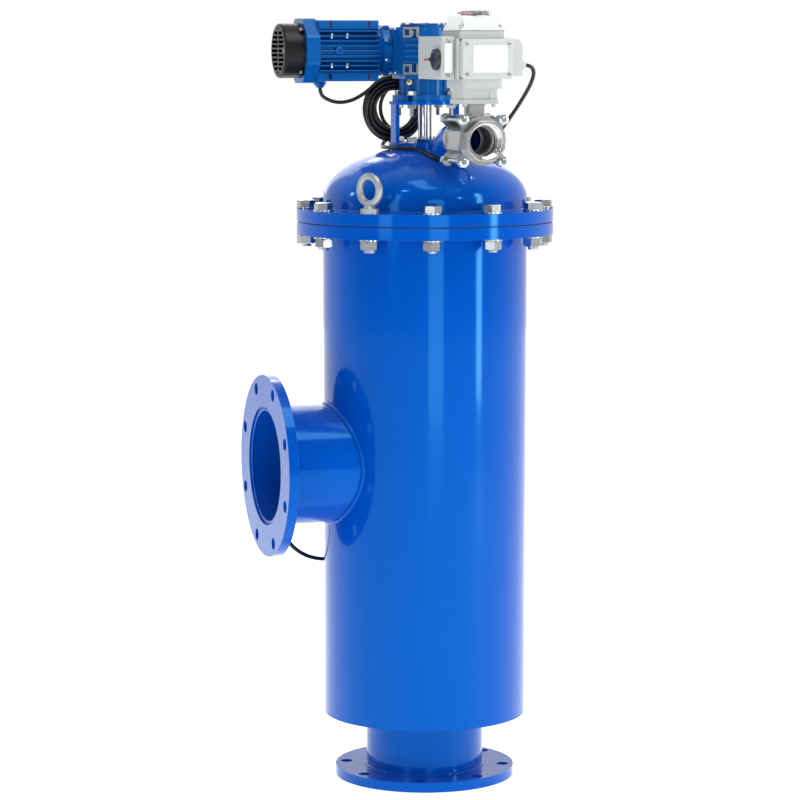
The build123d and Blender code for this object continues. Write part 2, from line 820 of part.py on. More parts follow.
def worm_wheel():
    """Fifty-tooth wheel: gashes across the rim at the worm's lead angle."""
    half = wheel_face_width / 2
    tip = wheel_pitch_radius + gear_module
    root = tip - tooth_height
    rim = rod(tip, worm_z - half, worm_z + half)
    gash_root = gear_module * math.pi / 2 - 2 * gear_module * math.tan(math.radians(20)) + tooth_backlash
    gash_tip = gash_root + 2 * tooth_height * math.tan(math.radians(20)) + 0.4
    profile = Polyline((root, -gash_root / 2), (tip + 1, -gash_tip / 2), (tip + 1, gash_tip / 2),
                       (root, gash_root / 2), (root, -gash_root / 2))
    gash = extrude(make_face(profile), wheel_face_width + 6, both=True)
    lead_angle = math.degrees(math.atan(worm_lead / (2 * math.pi * worm_pitch_radius)))
    # A gash faces the worm at +Y on the wheel's centre line.
    gash = Pos(0, 0, worm_z) * Rot(0, 0, 90) * Rot(-lead_angle, 0, 0) * gash
    for number in range(wheel_teeth):
        rim -= Rot(0, 0, number * 360 / wheel_teeth) * gash
    hub_half = bearing_seat() + bearing_width
    wheel = rim + rod(wheel_hub_radius, worm_z - hub_half, worm_z + hub_half)
    return wheel - rod(shaft_radius + running_gap, worm_z - hub_half - 1, worm_z + hub_half + 1)


def worm_shaft():
    """Worm with a helical thread on its shaft, from the gearbox to the motor's joint."""
    root = worm_pitch_radius - 1.2 * gear_module
    thread_base = gear_module * math.pi / 2 + 2 * 1.2 * gear_module * math.tan(math.radians(20)) - tooth_backlash
    thread_tip = gear_module * math.pi / 2 - 2 * gear_module * math.tan(math.radians(20)) - tooth_backlash
    path = Helix(worm_lead, worm_length, root - 0.3)
    profile = Polyline((0, -thread_base / 2), (0, thread_base / 2), (2.2 * gear_module + 0.3, thread_tip / 2),
                       (2.2 * gear_module + 0.3, -thread_tip / 2), (0, -thread_base / 2))
    section = Plane(origin=path @ 0, x_dir=(1, 0, 0), z_dir=path % 0) * make_face(profile)
    thread = sweep(section, path, is_frenet=True)
    core = rod(root, -3, worm_length + 3)
    # Turned so that a thread crest meets the wheel's gash on the centre line.
    turn = 270 - 360 * worm_length / 2 / worm_lead
    worm = Pos(0, 0, -worm_length / 2) * Rot(0, 0, turn) * (core + thread)
    worm += rod(worm_shaft_radius, cone_start_x, foot_distance - 12)
    return motor_line(along_x(worm))


def worm_bearings():
    ring = pipe(worm_bearing_radius, worm_shaft_radius + running_gap, 0, bearing_width - 2)
    rings = []
    for start in (-worm_length / 2 - 22, worm_length / 2 + 12):
        rings.append(motor_line(along_x(Pos(0, 0, start) * ring)))
    return rings


def motor_flange():
    """Front shield: round spigot flange, then the cone that opens out to the body."""
    flange = rod_x(motor_flange_radius, cone_start_x, motor_joint_x)
    cone = Pos(0, 0, body_front_x) * Cone(motor_body_radius + 3, motor_flange_radius - 2,
                                          motor_cone_length, align=low)
    flange += along_x(cone)
    flange -= rod_x(worm_bearing_radius + weld_gap, body_front_x - 1, body_front_x + bearing_width - 2)
    flange -= rod_x(worm_shaft_radius + 3, body_front_x - 1, motor_joint_x + 1)
    return motor_line(flange)


def motor_housing():
    """Extruded motor body: round core, side fins and box pads above and below."""
    core = Circle(motor_body_radius)
    fin_height = (motor_fin_count - 1) * motor_fin_pitch / 2
    for number in range(motor_fin_count):
        height = -fin_height + number * motor_fin_pitch
        core += Pos(0, height) * Rectangle(2 * (motor_half_height - 1), motor_fin_thickness)
    pad_width = 2 * math.sqrt(motor_half_height ** 2 - 38 ** 2) + 14
    for side in (-1, 1):
        core += Pos(0, side * (motor_half_height - 9)) * RectangleRounded(pad_width, 18, 3)
    core -= Circle(motor_bore_radius)
    body = Pos(0, 0, body_rear_x) * extrude(core, motor_body_length)
    # The section was drawn in Z-up terms, so it is stood up before it is laid along X.
    body = along_x(Rot(0, 0, 90) * body)
    notch = Box(6, 3 * motor_half_height, 20)
    for x in (body_front_x - 18, body_rear_x + 22):
        for side in (-1, 1):
            body -= Pos(x, 0, side * (motor_half_height - 4)) * notch
    return motor_line(body)


def motor_stator():
    middle = (body_front_x + body_rear_x) / 2
    ring = pipe(motor_bore_radius - weld_gap, rotor_radius + rotor_air_gap,
                middle - rotor_length / 2 - 4, middle + rotor_length / 2 + 4)
    return motor_line(along_x(ring))


def motor_rotor():
    middle = (body_front_x + body_rear_x) / 2
    rotor = rod_x(worm_shaft_radius, cowl_rear_x + 10, cone_start_x)
    rotor += rod_x(rotor_radius, middle - rotor_length / 2, middle + rotor_length / 2)
    return motor_line(rotor)


def motor_bearings():
    width = bearing_width - 2
    ring = pipe(worm_bearing_radius, worm_shaft_radius + running_gap, 0, width)
    rings = []
    for start in (body_front_x, body_rear_x - width):
        rings.append(motor_line(along_x(Pos(0, 0, start) * ring)))
    return rings


def end_ring():
    profile = RegularPolygon(end_ring_flats / 2, 8, rotation=22.5, major_radius=False)
    ring = Pos(0, 0, ring_rear_x) * extrude(fillet(profile.vertices(), 12), end_ring_length)
    ring -= rod(motor_bore_radius, ring_rear_x - 1, body_rear_x - 10)
    ring -= rod(worm_bearing_radius + weld_gap, body_rear_x - 11, body_rear_x + 1)
    return motor_line(along_x(ring))


def fan_cowl():
    """Moulded cowl whose end face is a grille of level slats and two stays."""
    cowl = rod(cowl_radius, cowl_rear_x, ring_rear_x)
    cowl = fillet(cowl.edges().filter_by(GeomType.CIRCLE).group_by(Axis.Z)[0], 4)
    cowl -= rod(cowl_radius - cowl_wall, cowl_rear_x + cowl_wall, ring_rear_x + 1)
    pitch = grille_slot_width + grille_bar_width
    opening = cowl_radius - 6
    slots = int(opening / pitch)
    for number in range(-slots, slots + 1):
        level = number * pitch
        half = math.sqrt(opening ** 2 - (abs(level) + grille_slot_width / 2) ** 2)
        for side in (-1, 1):
            length = half - 2
            cut = Pos(level, side * (2 + length / 2), cowl_rear_x) * Box(
                grille_slot_width, length - 2, 3 * cowl_wall)
            cowl -= cut
    for angle in (45, 135, 225, 315):
        tab = Pos(cowl_radius + 2, 0, ring_rear_x - 6) * Box(12, 12, 6, align=low)
        cowl += Rot(0, 0, angle) * (tab - rod(cowl_radius - 1, ring_rear_x - 7, ring_rear_x + 1))
    return motor_line(along_x(cowl))


def cowl_screws():
    screws = []
    for angle in (45, 135, 225, 315):
        screw = Rot(0, 0, angle) * Pos(cowl_radius + 4, 0, ring_rear_x - 6) * rod(3.2, -2.5, 0)
        screws.append(motor_line(along_x(screw)))
    return screws


def motor_fan():
    hub_rear = cowl_rear_x + 12
    fan = pipe(12, worm_shaft_radius + running_gap, hub_rear, ring_rear_x - 3)
    fan += pipe(fan_radius, worm_shaft_radius + running_gap, ring_rear_x - 6, ring_rear_x - 3)
    blade = Pos(fan_radius / 2 + 4, 0, hub_rear) * Box(
        fan_radius - 8, 2, ring_rear_x - 5 - hub_rear, align=low)
    for number in range(fan_blade_count):
        fan += Rot(0, 0, number * 360 / fan_blade_count) * blade
    return motor_line(along_x(fan))


def terminal_box():
    start = worm_offset + motor_half_height
    middle_x = (body_front_x + body_rear_x) / 2 - terminal_box_shift
    box = RectangleRounded(terminal_box_size, terminal_box_size, 5)
    shape = extrude(box, terminal_box_depth)
    return Pos(middle_x, start, worm_z - terminal_box_drop) * Rot(-90, 0, 0) * shape


def gland_place():
    x = (body_front_x + body_rear_x) / 2 - gland_shift
    y = worm_offset + motor_half_height + terminal_box_depth / 2
    return x, y, worm_z - terminal_box_drop - terminal_box_size / 2


def motor_gland():
    x, y, z = gland_place()
    gland = hexagon(22, -8, 0) + Pos(0, 0, -8) * Cone(6, gland_radius, 7, align=high)
    return Pos(x, y, z) * (gland - rod(cable_radius + running_gap, -16, -4))


def on_valve(shape):
    """Move a shape made along +Z to the valve's axis, its +Z end at the drain mouth."""
    return Pos(drain_x, stem_y, valve_z) * Rot(90, 0, 0) * shape


def on_stem(shape):
    return Pos(drain_x, stem_y, 0) * shape


def valve_bolt_places():
    half = valve_bolt_square / 2
    return [Pos(x, y, 0) for x in (-half, half) for y in (-half, half)]


def cap_blank():
    """Front end cap: lugged flange, octagon and pipe socket, all on the bore's axis."""
    reach = valve_bolt_square / math.sqrt(2) + cap_lug_radius
    flange = Circle(cap_flange_radius)
    for turn in (45, -45):
        flange += Rot(0, 0, turn) * SlotOverall(2 * reach, 2 * cap_lug_radius)
    cap = Pos(0, 0, cap_face) * extrude(flange, cap_flange_thickness)
    octagon = RegularPolygon(cap_octagon_flats / 2, 8, rotation=22.5, major_radius=False)
    nose_start = cap_face + cap_flange_thickness
    nose = Pos(0, 0, nose_start) * extrude(octagon, valve_half_length - nose_start)
    cap += chamfer(nose.faces().sort_by(Axis.Z)[-1].edges(), 1.5)
    cap -= rod(valve_bore_radius, cap_face - 1, valve_half_length + 1)
    for place in valve_bolt_places():
        cap -= place * rod(valve_bolt_radius + body_gap, cap_face - 1, nose_start + 1)
    return cap


def valve_front_cap():
    cap = cap_blank() - rod(port_thread_radius, valve_half_length - port_thread_length,
                            valve_half_length + 1)
    mouth = Cone(port_thread_radius - 1, port_thread_radius + 3, 4, align=high)
    return on_valve(cap - Pos(0, 0, valve_half_length + 0.5) * mouth)


def valve_rear_cap():
    socket = rod(drain_pipe_radius + weld_gap, valve_half_length - 14, valve_half_length + 1)
    return on_valve(mirror(cap_blank() - socket, Plane.XY))


def valve_body():
    """Octagonal barrel between the caps, with the stem neck and mounting pad on top."""
    octagon = RegularPolygon(valve_body_flats / 2, 8, rotation=22.5, major_radius=False)
    barrel = Pos(0, 0, -cap_face) * extrude(octagon, 2 * cap_face)
    body = on_valve(barrel)
    pad_bottom = valve_pad_top - valve_pad_thickness
    body += on_stem(rounded_block(valve_pad_size, 2 * cap_face - 10, pad_bottom, valve_pad_top, 8))
    body += on_stem(rod(stem_radius + 12, valve_z + ball_radius, valve_pad_top))
    body -= on_valve(rod(ball_radius + 2 * body_gap, -cap_face - 1, cap_face + 1))
    return body - on_stem(rod(stem_radius + running_gap, valve_z, valve_pad_top + 1))


def valve_seats():
    seats = []
    for side in (-1, 1):
        ring = pipe(seat_outer_radius, valve_bore_radius + weld_gap, cap_face - seat_depth, cap_face)
        ring -= Sphere(ball_radius + body_gap)
        seats.append(on_valve(mirror(ring, Plane.XY) if side < 0 else ring))
    return seats


def valve_ball():
    ball = Sphere(ball_radius) - rod(valve_bore_radius, -ball_radius - 1, ball_radius + 1)
    ball = on_valve(ball)
    return ball - on_stem(rod(stem_radius + running_gap, ball_recess_z(), valve_z + ball_radius + 1))


def ball_recess_z():
    return valve_z + valve_bore_radius + 3


def valve_stem():
    """Stem up from the ball, its drive sleeve and the slim spindle to the indicator."""
    sleeve_top = upper_neck_top + 18
    stem = rod(stem_radius, ball_recess_z(), base_plate_top)
    stem += rod(output_radius(), bracket_top + 4, sleeve_top)
    stem += rod(stem_radius - 3, sleeve_top, top_cover_top + 1.5)
    return on_stem(stem)


def valve_bolts():
    grip = 2 * (cap_face + cap_flange_thickness)
    bolt = Pos(0, 0, cap_face + cap_flange_thickness) * hex_bolt(valve_bolt_radius, grip + 12, 17, 8)
    return [on_valve(place * bolt) for place in valve_bolt_places()]


def valve_nuts():
    nut = Pos(0, 0, -cap_face - cap_flange_thickness) * hex_nut(valve_bolt_radius, 17, 8)
    return [on_valve(place * nut) for place in valve_bolt_places()]


def actuator_bracket():
    """Square stool between the valve's pad and the actuator, open on two sides."""
    stool = block(bracket_size_x, bracket_size_y, valve_pad_top, bracket_top)
    stool -= rod(stem_radius + body_gap, valve_pad_top - 1, bracket_top + 1)
    window = Pos(0, 0, valve_pad_top + 4) * Box(bracket_size_x + 2, stem_radius * 2, bracket_height - 8, align=low)
    return on_stem(stool - window)


def actuator_base():
    """Bottom plate and the two stepped necks that carry the actuator's body."""
    base = rounded_block(base_plate_size, base_plate_size, bracket_top, base_plate_top, 6)
    base += rounded_block(lower_neck_size, lower_neck_size, base_plate_top, lower_neck_top, 5)
    base += rounded_block(upper_neck_size_x, upper_neck_size_y, lower_neck_top, upper_neck_top, 6)
    panel = Box(lower_neck_size * 0.55, 3, lower_neck_height - 4, align=low)
    for side in (-1, 1):
        base -= Pos(0, side * lower_neck_size / 2, base_plate_top) * panel
    return on_stem(base)


def output_radius():
    return stem_radius + 5


def actuator_body():
    body = rounded_block(actuator_body_width, actuator_body_depth, upper_neck_top, actuator_body_top, 4)
    body = Pos(0, actuator_body_depth / 2 - actuator_body_front, 0) * body
    band = rounded_block(top_cover_width, top_cover_depth, actuator_body_top, band_top, 4)
    body += Pos(0, top_cover_depth / 2 - top_cover_front, 0) * band
    body = on_stem(body) + actuator_base()
    body -= on_stem(rod(output_radius() + body_gap, bracket_top - 1, upper_neck_top + 20))
    return body - on_stem(rod(stem_radius - 3 + body_gap, upper_neck_top, band_top + 1))


def front_cover():
    """Cast front cover with softened edges and a raised blank plate."""
    height = actuator_body_height - 1
    cover = RectangleRounded(front_cover_width, height, 7)
    shape = extrude(cover, front_cover_thickness)
    shape = fillet(shape.faces().sort_by(Axis.Z)[-1].edges(), 2)
    shape += Pos(4, 0, front_cover_thickness) * Box(62, 46, 0.8, align=low)
    middle = upper_neck_top + actuator_body_height / 2
    return on_stem(Pos(0, -actuator_body_front, middle) * Rot(90, 0, 0) * shape)


def side_cover():
    """Deep left-hand cover that carries the override knob and a raised front panel."""
    bottom = upper_neck_top - 1
    cover = rounded_block(side_cover_thickness, side_cover_depth, bottom, bottom + side_cover_height, 3)
    x = -actuator_body_width / 2 - side_cover_thickness / 2
    cover = Pos(x, side_cover_depth / 2 - side_cover_front, 0) * cover
    panel = Box(side_cover_thickness - 8, 3, side_cover_height - 28)
    cover += Pos(x - 1, -side_cover_front - 1.5, bottom + side_cover_height / 2) * panel
    return on_stem(cover) - knob_place() * rod(4 + running_gap, -12, 1)


def knob_place():
    x = drain_x - actuator_body_width / 2 - side_cover_thickness
    return Pos(x, knob_y, upper_neck_top - 1 + knob_z_in_cover) * Rot(0, -90, 0)


def override_knob():
    knob = rod(knob_radius, weld_gap, knob_height)
    knob = fillet(knob.edges().filter_by(GeomType.CIRCLE).group_by(Axis.Z)[-1], 2.5)
    knob += Pos(0, knob_radius + 1, weld_gap) * Box(5, 10, 4, align=low)
    knob += rod(knob_radius * 0.55, knob_height - 3, knob_height + 1)
    return knob_place() * (knob + rod(4, -11, 1))


def gland_cover():
    """Smaller right-hand cover with a rounded top edge, where the cable comes out."""
    depth = side_cover_depth - 33
    cover = block(side_cover_thickness, depth, upper_neck_top + 5, actuator_body_top)
    edge = cover.edges().filter_by(Axis.Y).sort_by(lambda e: e.center().Z + e.center().X)[-1]
    cover = fillet(edge, 14)
    x = actuator_body_width / 2 + side_cover_thickness / 2
    return on_stem(Pos(x, depth / 2 - side_cover_front, 0) * cover)


def actuator_gland():
    x = drain_x + actuator_body_width / 2 + side_cover_thickness
    gland = hexagon(20, 0, 6) + Pos(0, 0, 6) * Cone(10, 6.5, 9, align=low)
    gland -= rod(cable_radius + running_gap, 6, 16)
    return Pos(x, stem_y - gland_forward(), gland_height()) * Rot(0, 90, 0) * gland


def gland_forward():
    return side_cover_front * 0.3


def gland_height():
    return upper_neck_top + 24


def top_cover():
    angle = math.degrees(math.atan(top_cover_draft / top_cover_height))
    profile = RectangleRounded(top_cover_width - 2, top_cover_depth - 2, 6)
    cover = extrude(profile, top_cover_height, taper=angle)
    cover = Pos(0, top_cover_depth / 2 - top_cover_front, band_top) * cover
    for x in (-1, 1):
        for y in (0, 1):
            corner = Pos(x * (top_cover_width / 2 - 4), y * top_cover_depth - top_cover_front + 4 - 8 * y, band_top + 7)
            cover -= corner * rod(6, 0, top_cover_height)
    return on_stem(cover - rod(stem_radius - 3 + body_gap, band_top - 1, top_cover_top + 1))


def window_dome():
    dome = rod(window_radius, 0, window_height)
    dome = fillet(dome.edges().filter_by(GeomType.CIRCLE).group_by(Axis.Z)[-1], 7)
    dome -= rod(window_radius - window_wall - 3, -1, window_height - window_wall)
    return on_stem(Pos(0, 0, top_cover_top) * dome)


def position_indicator():
    disc = rod(indicator_radius, 1.5, 3.5) + Pos(0, 0, 3.5) * Box(10, 2 * indicator_radius - 4, 2, align=low)
    return on_stem(Pos(0, 0, top_cover_top) * disc)


def actuator_screws():
    """Cover screws: four in front, two on the side panel and four on the top cover."""
    screws = []
    half_height = actuator_body_height / 2
    middle = upper_neck_top + half_height
    head = rod(3.6, 0, 2)
    for x in (-1, 1):
        for z in (-1, 1):
            place = Pos(x * (front_cover_width / 2 - 8), -actuator_body_front - front_cover_thickness,
                        middle + z * (half_height - 8.5))
            screws.append(on_stem(place * Rot(90, 0, 0) * head))
    x = -actuator_body_width / 2 - side_cover_thickness / 2 - 1
    for z in (7, side_cover_height - 7):
        place = Pos(x, -side_cover_front, upper_neck_top - 1 + z)
        screws.append(on_stem(place * Rot(90, 0, 0) * head))
    for x in (-1, 1):
        for y in (0, 1):
            corner = Pos(x * (top_cover_width / 2 - 5), y * top_cover_depth - top_cover_front + 5 - 10 * y, band_top + 7)
            screws.append(on_stem(corner * rod(3.2, 0, 3)))
    return screws


def base_screws():
    screws = []
    half = base_plate_size / 2 - 8
    for x in (-half, half):
        for y in (-half, half):
            screws.append(on_stem(Pos(x, y, bracket_top) * rod(4, -5, 0)))
    return screws


def pressure_socket():
    """Straight hose socket welded to the outlet pipe's lower back."""
    tail = rod(6.5, pipe_radius - 2, pipe_radius + 20) + hexagon(15, pipe_radius + 2, pipe_radius + 10)
    tail -= rod(hose_radius + running_gap, pipe_radius + 12, pipe_radius + 21)
    return fitting_place() * tail


def fitting_place():
    return Pos(-outlet_reach + 58, 0, outlet_height) * Rot(-135, 0, 0)


def pressure_switch():
    """Differential-pressure switch housing on its back pad."""
    housing = Pos(0, switch_y, switch_z) * Box(56, switch_housing_depth, 76)
    housing = fillet(housing.edges().filter_by(Axis.Z), 5)
    pad_middle = vessel_radius + (switch_pad_depth - switch_pad_sink) / 2
    housing += Pos(0, pad_middle, switch_z) * Box(40, switch_pad_depth + switch_pad_sink, 50)
    housing -= rod(vessel_radius + weld_gap, switch_z - 60, switch_z + 60)
    for side in (-1, 1):
        port = Pos(side * 28, switch_y, switch_z - 22) * Rot(0, side * 90, 0) * (
            rod(7, 0, 14) - rod(hose_radius + running_gap, 6, 15))
        housing += port
    return housing


def cord_points():
    """Hand-chosen routes of the two cables and the sensing hose."""
    gland_x, gland_y, gland_z = gland_place()
    motor = [(gland_x, gland_y, gland_z - 9), (gland_x, gland_y, gland_z - 25), (-156, 121, 1266),
             (-133, 118, 1258), (-106, 115, 1262), (-80, 111, 1277), (-57, 107, 1294)]
    exit_x = drain_x + actuator_body_width / 2 + side_cover_thickness + 8
    exit_y = stem_y - gland_forward()
    actuator = [(exit_x, exit_y, gland_height()), (106, exit_y, gland_height()), (116, -265, 1321),
                (115, -258, 1303), (107, -246, 1280), (93, -230, 1250), (80, -212, 1224), (66, -190, 1194),
                (54, -162, 1172), (36, -140, 1160), (7, -143, 1154), (-19, -128, 1160),
                (-29, -101, 1171), (-36, -74, 1178), (-53, -53, 1179), (-70, -30, 1179),
                (-78, 0, 1179), (-75, 29, 1179), (-65, 56, 1181), (-53, 78, 1188), (-38, 95, 1196)]
    tail = fitting_place() * Pos(0, 0, pipe_radius + 13)
    start = tail.position
    down = (fitting_place() * Pos(0, 0, pipe_radius + 34)).position
    hose = [(start.X, start.Y, start.Z), (down.X, down.Y, down.Z), (-249, 112, 476), (-240, 120, 445),
            (-221, 124, 420), (-194, 128, 402), (-160, 140, 392), (-124, 164, 389),
            (-88, 193, 393), (-60, switch_y, switch_z - 22), (-35, switch_y, switch_z - 22)]
    return {"motor_cord": (motor, cable_radius), "actuator_cord": (actuator, cable_radius),
            "sensing_hose": (hose, hose_radius)}


def bend_radii(points):
    """Largest arc for each corner of a route, and the turn there in degrees."""
    radii = []
    for before, corner, after in zip(points, points[1:], points[2:]):
        first = Vector(*corner) - Vector(*before)
        second = Vector(*after) - Vector(*corner)
        shorter = min(first.length, second.length)
        turn = first.get_angle(second)
        radii.append(0.45 * shorter / math.tan(math.radians(turn / 2)))
    return radii


def cord(name):
    points, radius = cord_points()[name]
    radii = bend_radii(points)
    path = FilletPolyline(*points, radius=radii)
    solid = sweep(path.location_at(0) * Circle(radius), path)
    expected = math.pi * radius ** 2 * path.length
    print(name, "length", round(path.length, 1), "volume ratio", round(solid.volume / expected, 4))
    print(name, "radii", [round(value) for value in radii])
    return solid


def coil_frame():
    return Pos(coil_x, coil_y, coil_z) * Rot(0, 0, coil_turn) * Rot(90, 0, 0)


def cord_coil():
    path = coil_frame() * Ellipse(coil_half_width, coil_half_height).edge()
    return sweep(path.location_at(0) * Circle(coil_tube_radius), path)


pieces = {
    "vessel_shell": vessel_shell(),
    "inlet_nozzle": inlet_nozzle(),
    "outlet_nozzle": outlet_nozzle(),
    "body_flange": body_flange(shell_top),
    "main_gasket": main_gasket(),
    "cover_flange": body_flange(cover_bottom),
    "cover_dome": cover_dome(),
    "cover_bolts": cover_bolts(),
    "cover_nuts": cover_nuts() + cover_washers(),
    "eye_bolts": eye_bolts(),
    "screen_seals": screen_seals(),
    "screen_cage": screen_cage(),
    "wire_screen": wire_screen(),
    "chamber_plate": chamber_plate(),
    "plate_screws": plate_screws(),
    "scanner_bushes": [upper_bush(), lower_bush()],
    "bottom_spider": bottom_spider(),
    "scanner_tube": scanner_tube(),
    "suction_nozzles": suction_nozzles(),
    "drive_shaft": drive_shaft(),
    "shaft_seals": packing_rings() + [output_seal()],
    "gland_follower": gland_follower(),
    "drive_yoke": [yoke_base(), yoke_top()] + yoke_legs(),
    "yoke_bolts": yoke_bolts() + follower_bolts() + flange_bolts() + flange_nuts(),
    "gearbox_flange": gearbox_flange(),
    "gearbox_housing": gearbox_housing(),
    "output_cover": output_cover(),
    "worm_wheel": worm_wheel(),
    "worm_shaft": worm_shaft(),
    "bearings": output_bearings() + worm_bearings() + motor_bearings(),
    "motor_flange": motor_flange(),
    "motor_housing": motor_housing(),
    "motor_stator": motor_stator(),
    "motor_rotor": motor_rotor(),
    "motor_end_ring": end_ring(),
    "fan_cowl": fan_cowl(),
    "motor_fan": motor_fan(),
    "terminal_box": terminal_box(),
    "motor_gland": motor_gland(),
    "housing_screws": output_cover_screws() + cowl_screws() + actuator_screws() + base_screws(),
    "drain_elbow": drain_elbow(),
    "valve_end_caps": [valve_front_cap(), valve_rear_cap()],
    "valve_body": valve_body(),
    "valve_seats": valve_seats(),
    "valve_ball": valve_ball(),
    "valve_stem": valve_stem(),
    "valve_bolts": valve_bolts() + valve_nuts(),
    "actuator_bracket": actuator_bracket(),
    "actuator_body": actuator_body(),
    "actuator_covers": [front_cover(), side_cover(), gland_cover()],
    "override_knob": override_knob(),
    "actuator_gland": actuator_gland(),
    "top_cover": top_cover(),
    "indicator_window": window_dome(),
    "position_indicator": position_indicator(),
    "pressure_switch": pressure_switch(),
    "motor_cord": cord("motor_cord"),
    "actuator_cord": cord("actuator_cord"),
    "sensing_hose": cord("sensing_hose"),
    "cord_coil": cord_coil(),
}

os.makedirs("parts", exist_ok=True)
for name, shape in pieces.items():
    if isinstance(shape, list):
        shape = Compound(children=shape)
    export_step(shape, os.path.join("parts", name + ".step"))
print(len(pieces), "pieces")
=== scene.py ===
import bpy, bmesh, math, random
from mathutils import Matrix, Vector


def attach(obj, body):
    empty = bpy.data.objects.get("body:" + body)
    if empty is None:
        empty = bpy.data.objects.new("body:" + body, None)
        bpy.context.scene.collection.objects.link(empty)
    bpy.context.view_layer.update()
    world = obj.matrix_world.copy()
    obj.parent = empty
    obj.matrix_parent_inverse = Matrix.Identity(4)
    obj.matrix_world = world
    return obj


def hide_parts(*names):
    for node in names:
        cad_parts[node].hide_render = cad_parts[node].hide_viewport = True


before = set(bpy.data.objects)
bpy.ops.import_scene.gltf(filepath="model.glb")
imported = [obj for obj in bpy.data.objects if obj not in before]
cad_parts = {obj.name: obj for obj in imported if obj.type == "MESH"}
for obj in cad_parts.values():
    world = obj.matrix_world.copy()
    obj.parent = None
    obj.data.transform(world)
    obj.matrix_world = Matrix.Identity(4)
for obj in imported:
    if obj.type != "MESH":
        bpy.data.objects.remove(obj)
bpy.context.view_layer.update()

print("frame loaded:", len(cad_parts), "nodes")
random.seed(11)
mm = 0.001
scene = bpy.context.scene
collection = scene.collection
turnFull = 2 * math.pi

# camera: stands where the photograph was taken, about level with the gearbox
shot = {"place": (-1.7715, -5.3387, 1.3716), "heading": -17.887, "down": 6.732, "lens": 136.56}
camData = bpy.data.cameras.new("shotCamera")
camData.lens = shot["lens"]
camData.sensor_width = 36
cam = bpy.data.objects.new("shotCamera", camData)
cam.location = shot["place"]
cam.rotation_euler = (math.radians(90 - shot["down"]), 0, math.radians(shot["heading"]))
collection.objects.link(cam)
scene.camera = cam

# heights and stations of the real parts, mm, the same as in the CAD
heights = {"shellTop": 1020, "coverTop": 1066, "yokeBase": 1187.25, "yokeTopUnder": 1257.25,
           "flangePlate": 1274.25, "worm": 1355.25, "capTop": 1403.25, "valve": 1199, "bracketTop": 1263,
           "neck": 1307, "band": 1391}
wormY, stemX, stemY = 50, 7, -255
vesselRadius, pipeRadius, outletHeight, outletFace = 188.5, 109.5, 597, -310
caseFront, caseSide, coverDepth, coverMiddle = stemY - 57, stemX - 51, 16, heights["neck"] + 35
knobX, knobY, knobZ = caseSide - 24, -275, heights["neck"] + 34


def newGroup(name, inputs, outputs):
    group = bpy.data.node_groups.new(name, "ShaderNodeTree")
    for label, kind, value in inputs:
        socket = group.interface.new_socket(label, in_out="INPUT", socket_type=kind)
        socket.default_value = value
    for label, kind in outputs:
        group.interface.new_socket(label, in_out="OUTPUT", socket_type=kind)
    return group, group.nodes.new("NodeGroupInput"), group.nodes.new("NodeGroupOutput")


def node(tree, kind, links=None, **settings):
    made = tree.nodes.new(kind)
    for key, value in settings.items():
        if key in made.bl_rna.properties:
            setattr(made, key, value)
        else:
            made.inputs[key.replace("_", " ")].default_value = value
    for key, source in (links or {}).items():
        tree.links.new(source, made.inputs[key])
    return made


def mathNode(tree, operation, first, second=None, clamp=False):
    made = tree.nodes.new("ShaderNodeMath")
    made.operation = operation
    made.use_clamp = clamp
    for number, value in enumerate((first, second)):
        if value is None:
            continue
        if isinstance(value, (int, float)):
            made.inputs[number].default_value = value
        else:
            tree.links.new(value, made.inputs[number])
    return made.outputs[0]


def place(tree):
    return node(tree, "ShaderNodeTexCoord").outputs["Object"]


number, colourKind, vector = "NodeSocketFloat", "NodeSocketColor", "NodeSocketVector"


def makeGrain():
    # fine skin of paint or casting: a bump from two sizes of noise
    group, given, out = newGroup("surfaceGrain", [("Size", number, 300.0), ("Depth", number, 0.1)],
                                 [("Normal", vector)])
    where = place(group)
    fine = node(group, "ShaderNodeTexNoise", {"Vector": where, "Scale": given.outputs["Size"]}, Detail=3.0)
    broad = node(group, "ShaderNodeTexNoise",
                 {"Vector": where, "Scale": mathNode(group, "MULTIPLY", given.outputs["Size"], 0.23)},
                 Detail=2.0)
    both = mathNode(group, "ADD", fine.outputs[0], broad.outputs[0])
    bump = node(group, "ShaderNodeBump", {"Height": both, "Strength": given.outputs["Depth"]}, Distance=0.001)
    group.links.new(bump.outputs[0], out.inputs["Normal"])
    return group


def makeTone():
    # slow drift of colour and gloss over a surface
    group, given, out = newGroup("toneDrift", [("Color", colourKind, (0.5, 0.5, 0.5, 1)),
                                               ("Amount", number, 0.1),
                                               ("Size", number, 7.0), ("Roughness", number, 0.3)],
                                 [("Color", colourKind), ("Roughness", number)])
    noise = node(group, "ShaderNodeTexNoise", {"Vector": place(group), "Scale": given.outputs["Size"]},
                 Detail=4.0)
    centred = mathNode(group, "SUBTRACT", noise.outputs[0], 0.5)
    swing = mathNode(group, "MULTIPLY", centred, given.outputs["Amount"])
    value = mathNode(group, "ADD", mathNode(group, "MULTIPLY", swing, 2.2), 1.0)
    shifted = node(group, "ShaderNodeHueSaturation", {"Color": given.outputs["Color"], "Value": value})
    rough = mathNode(group, "ADD", given.outputs["Roughness"], swing, clamp=True)
    group.links.new(shifted.outputs[0], out.inputs["Color"])
    group.links.new(rough, out.inputs["Roughness"])
    return group


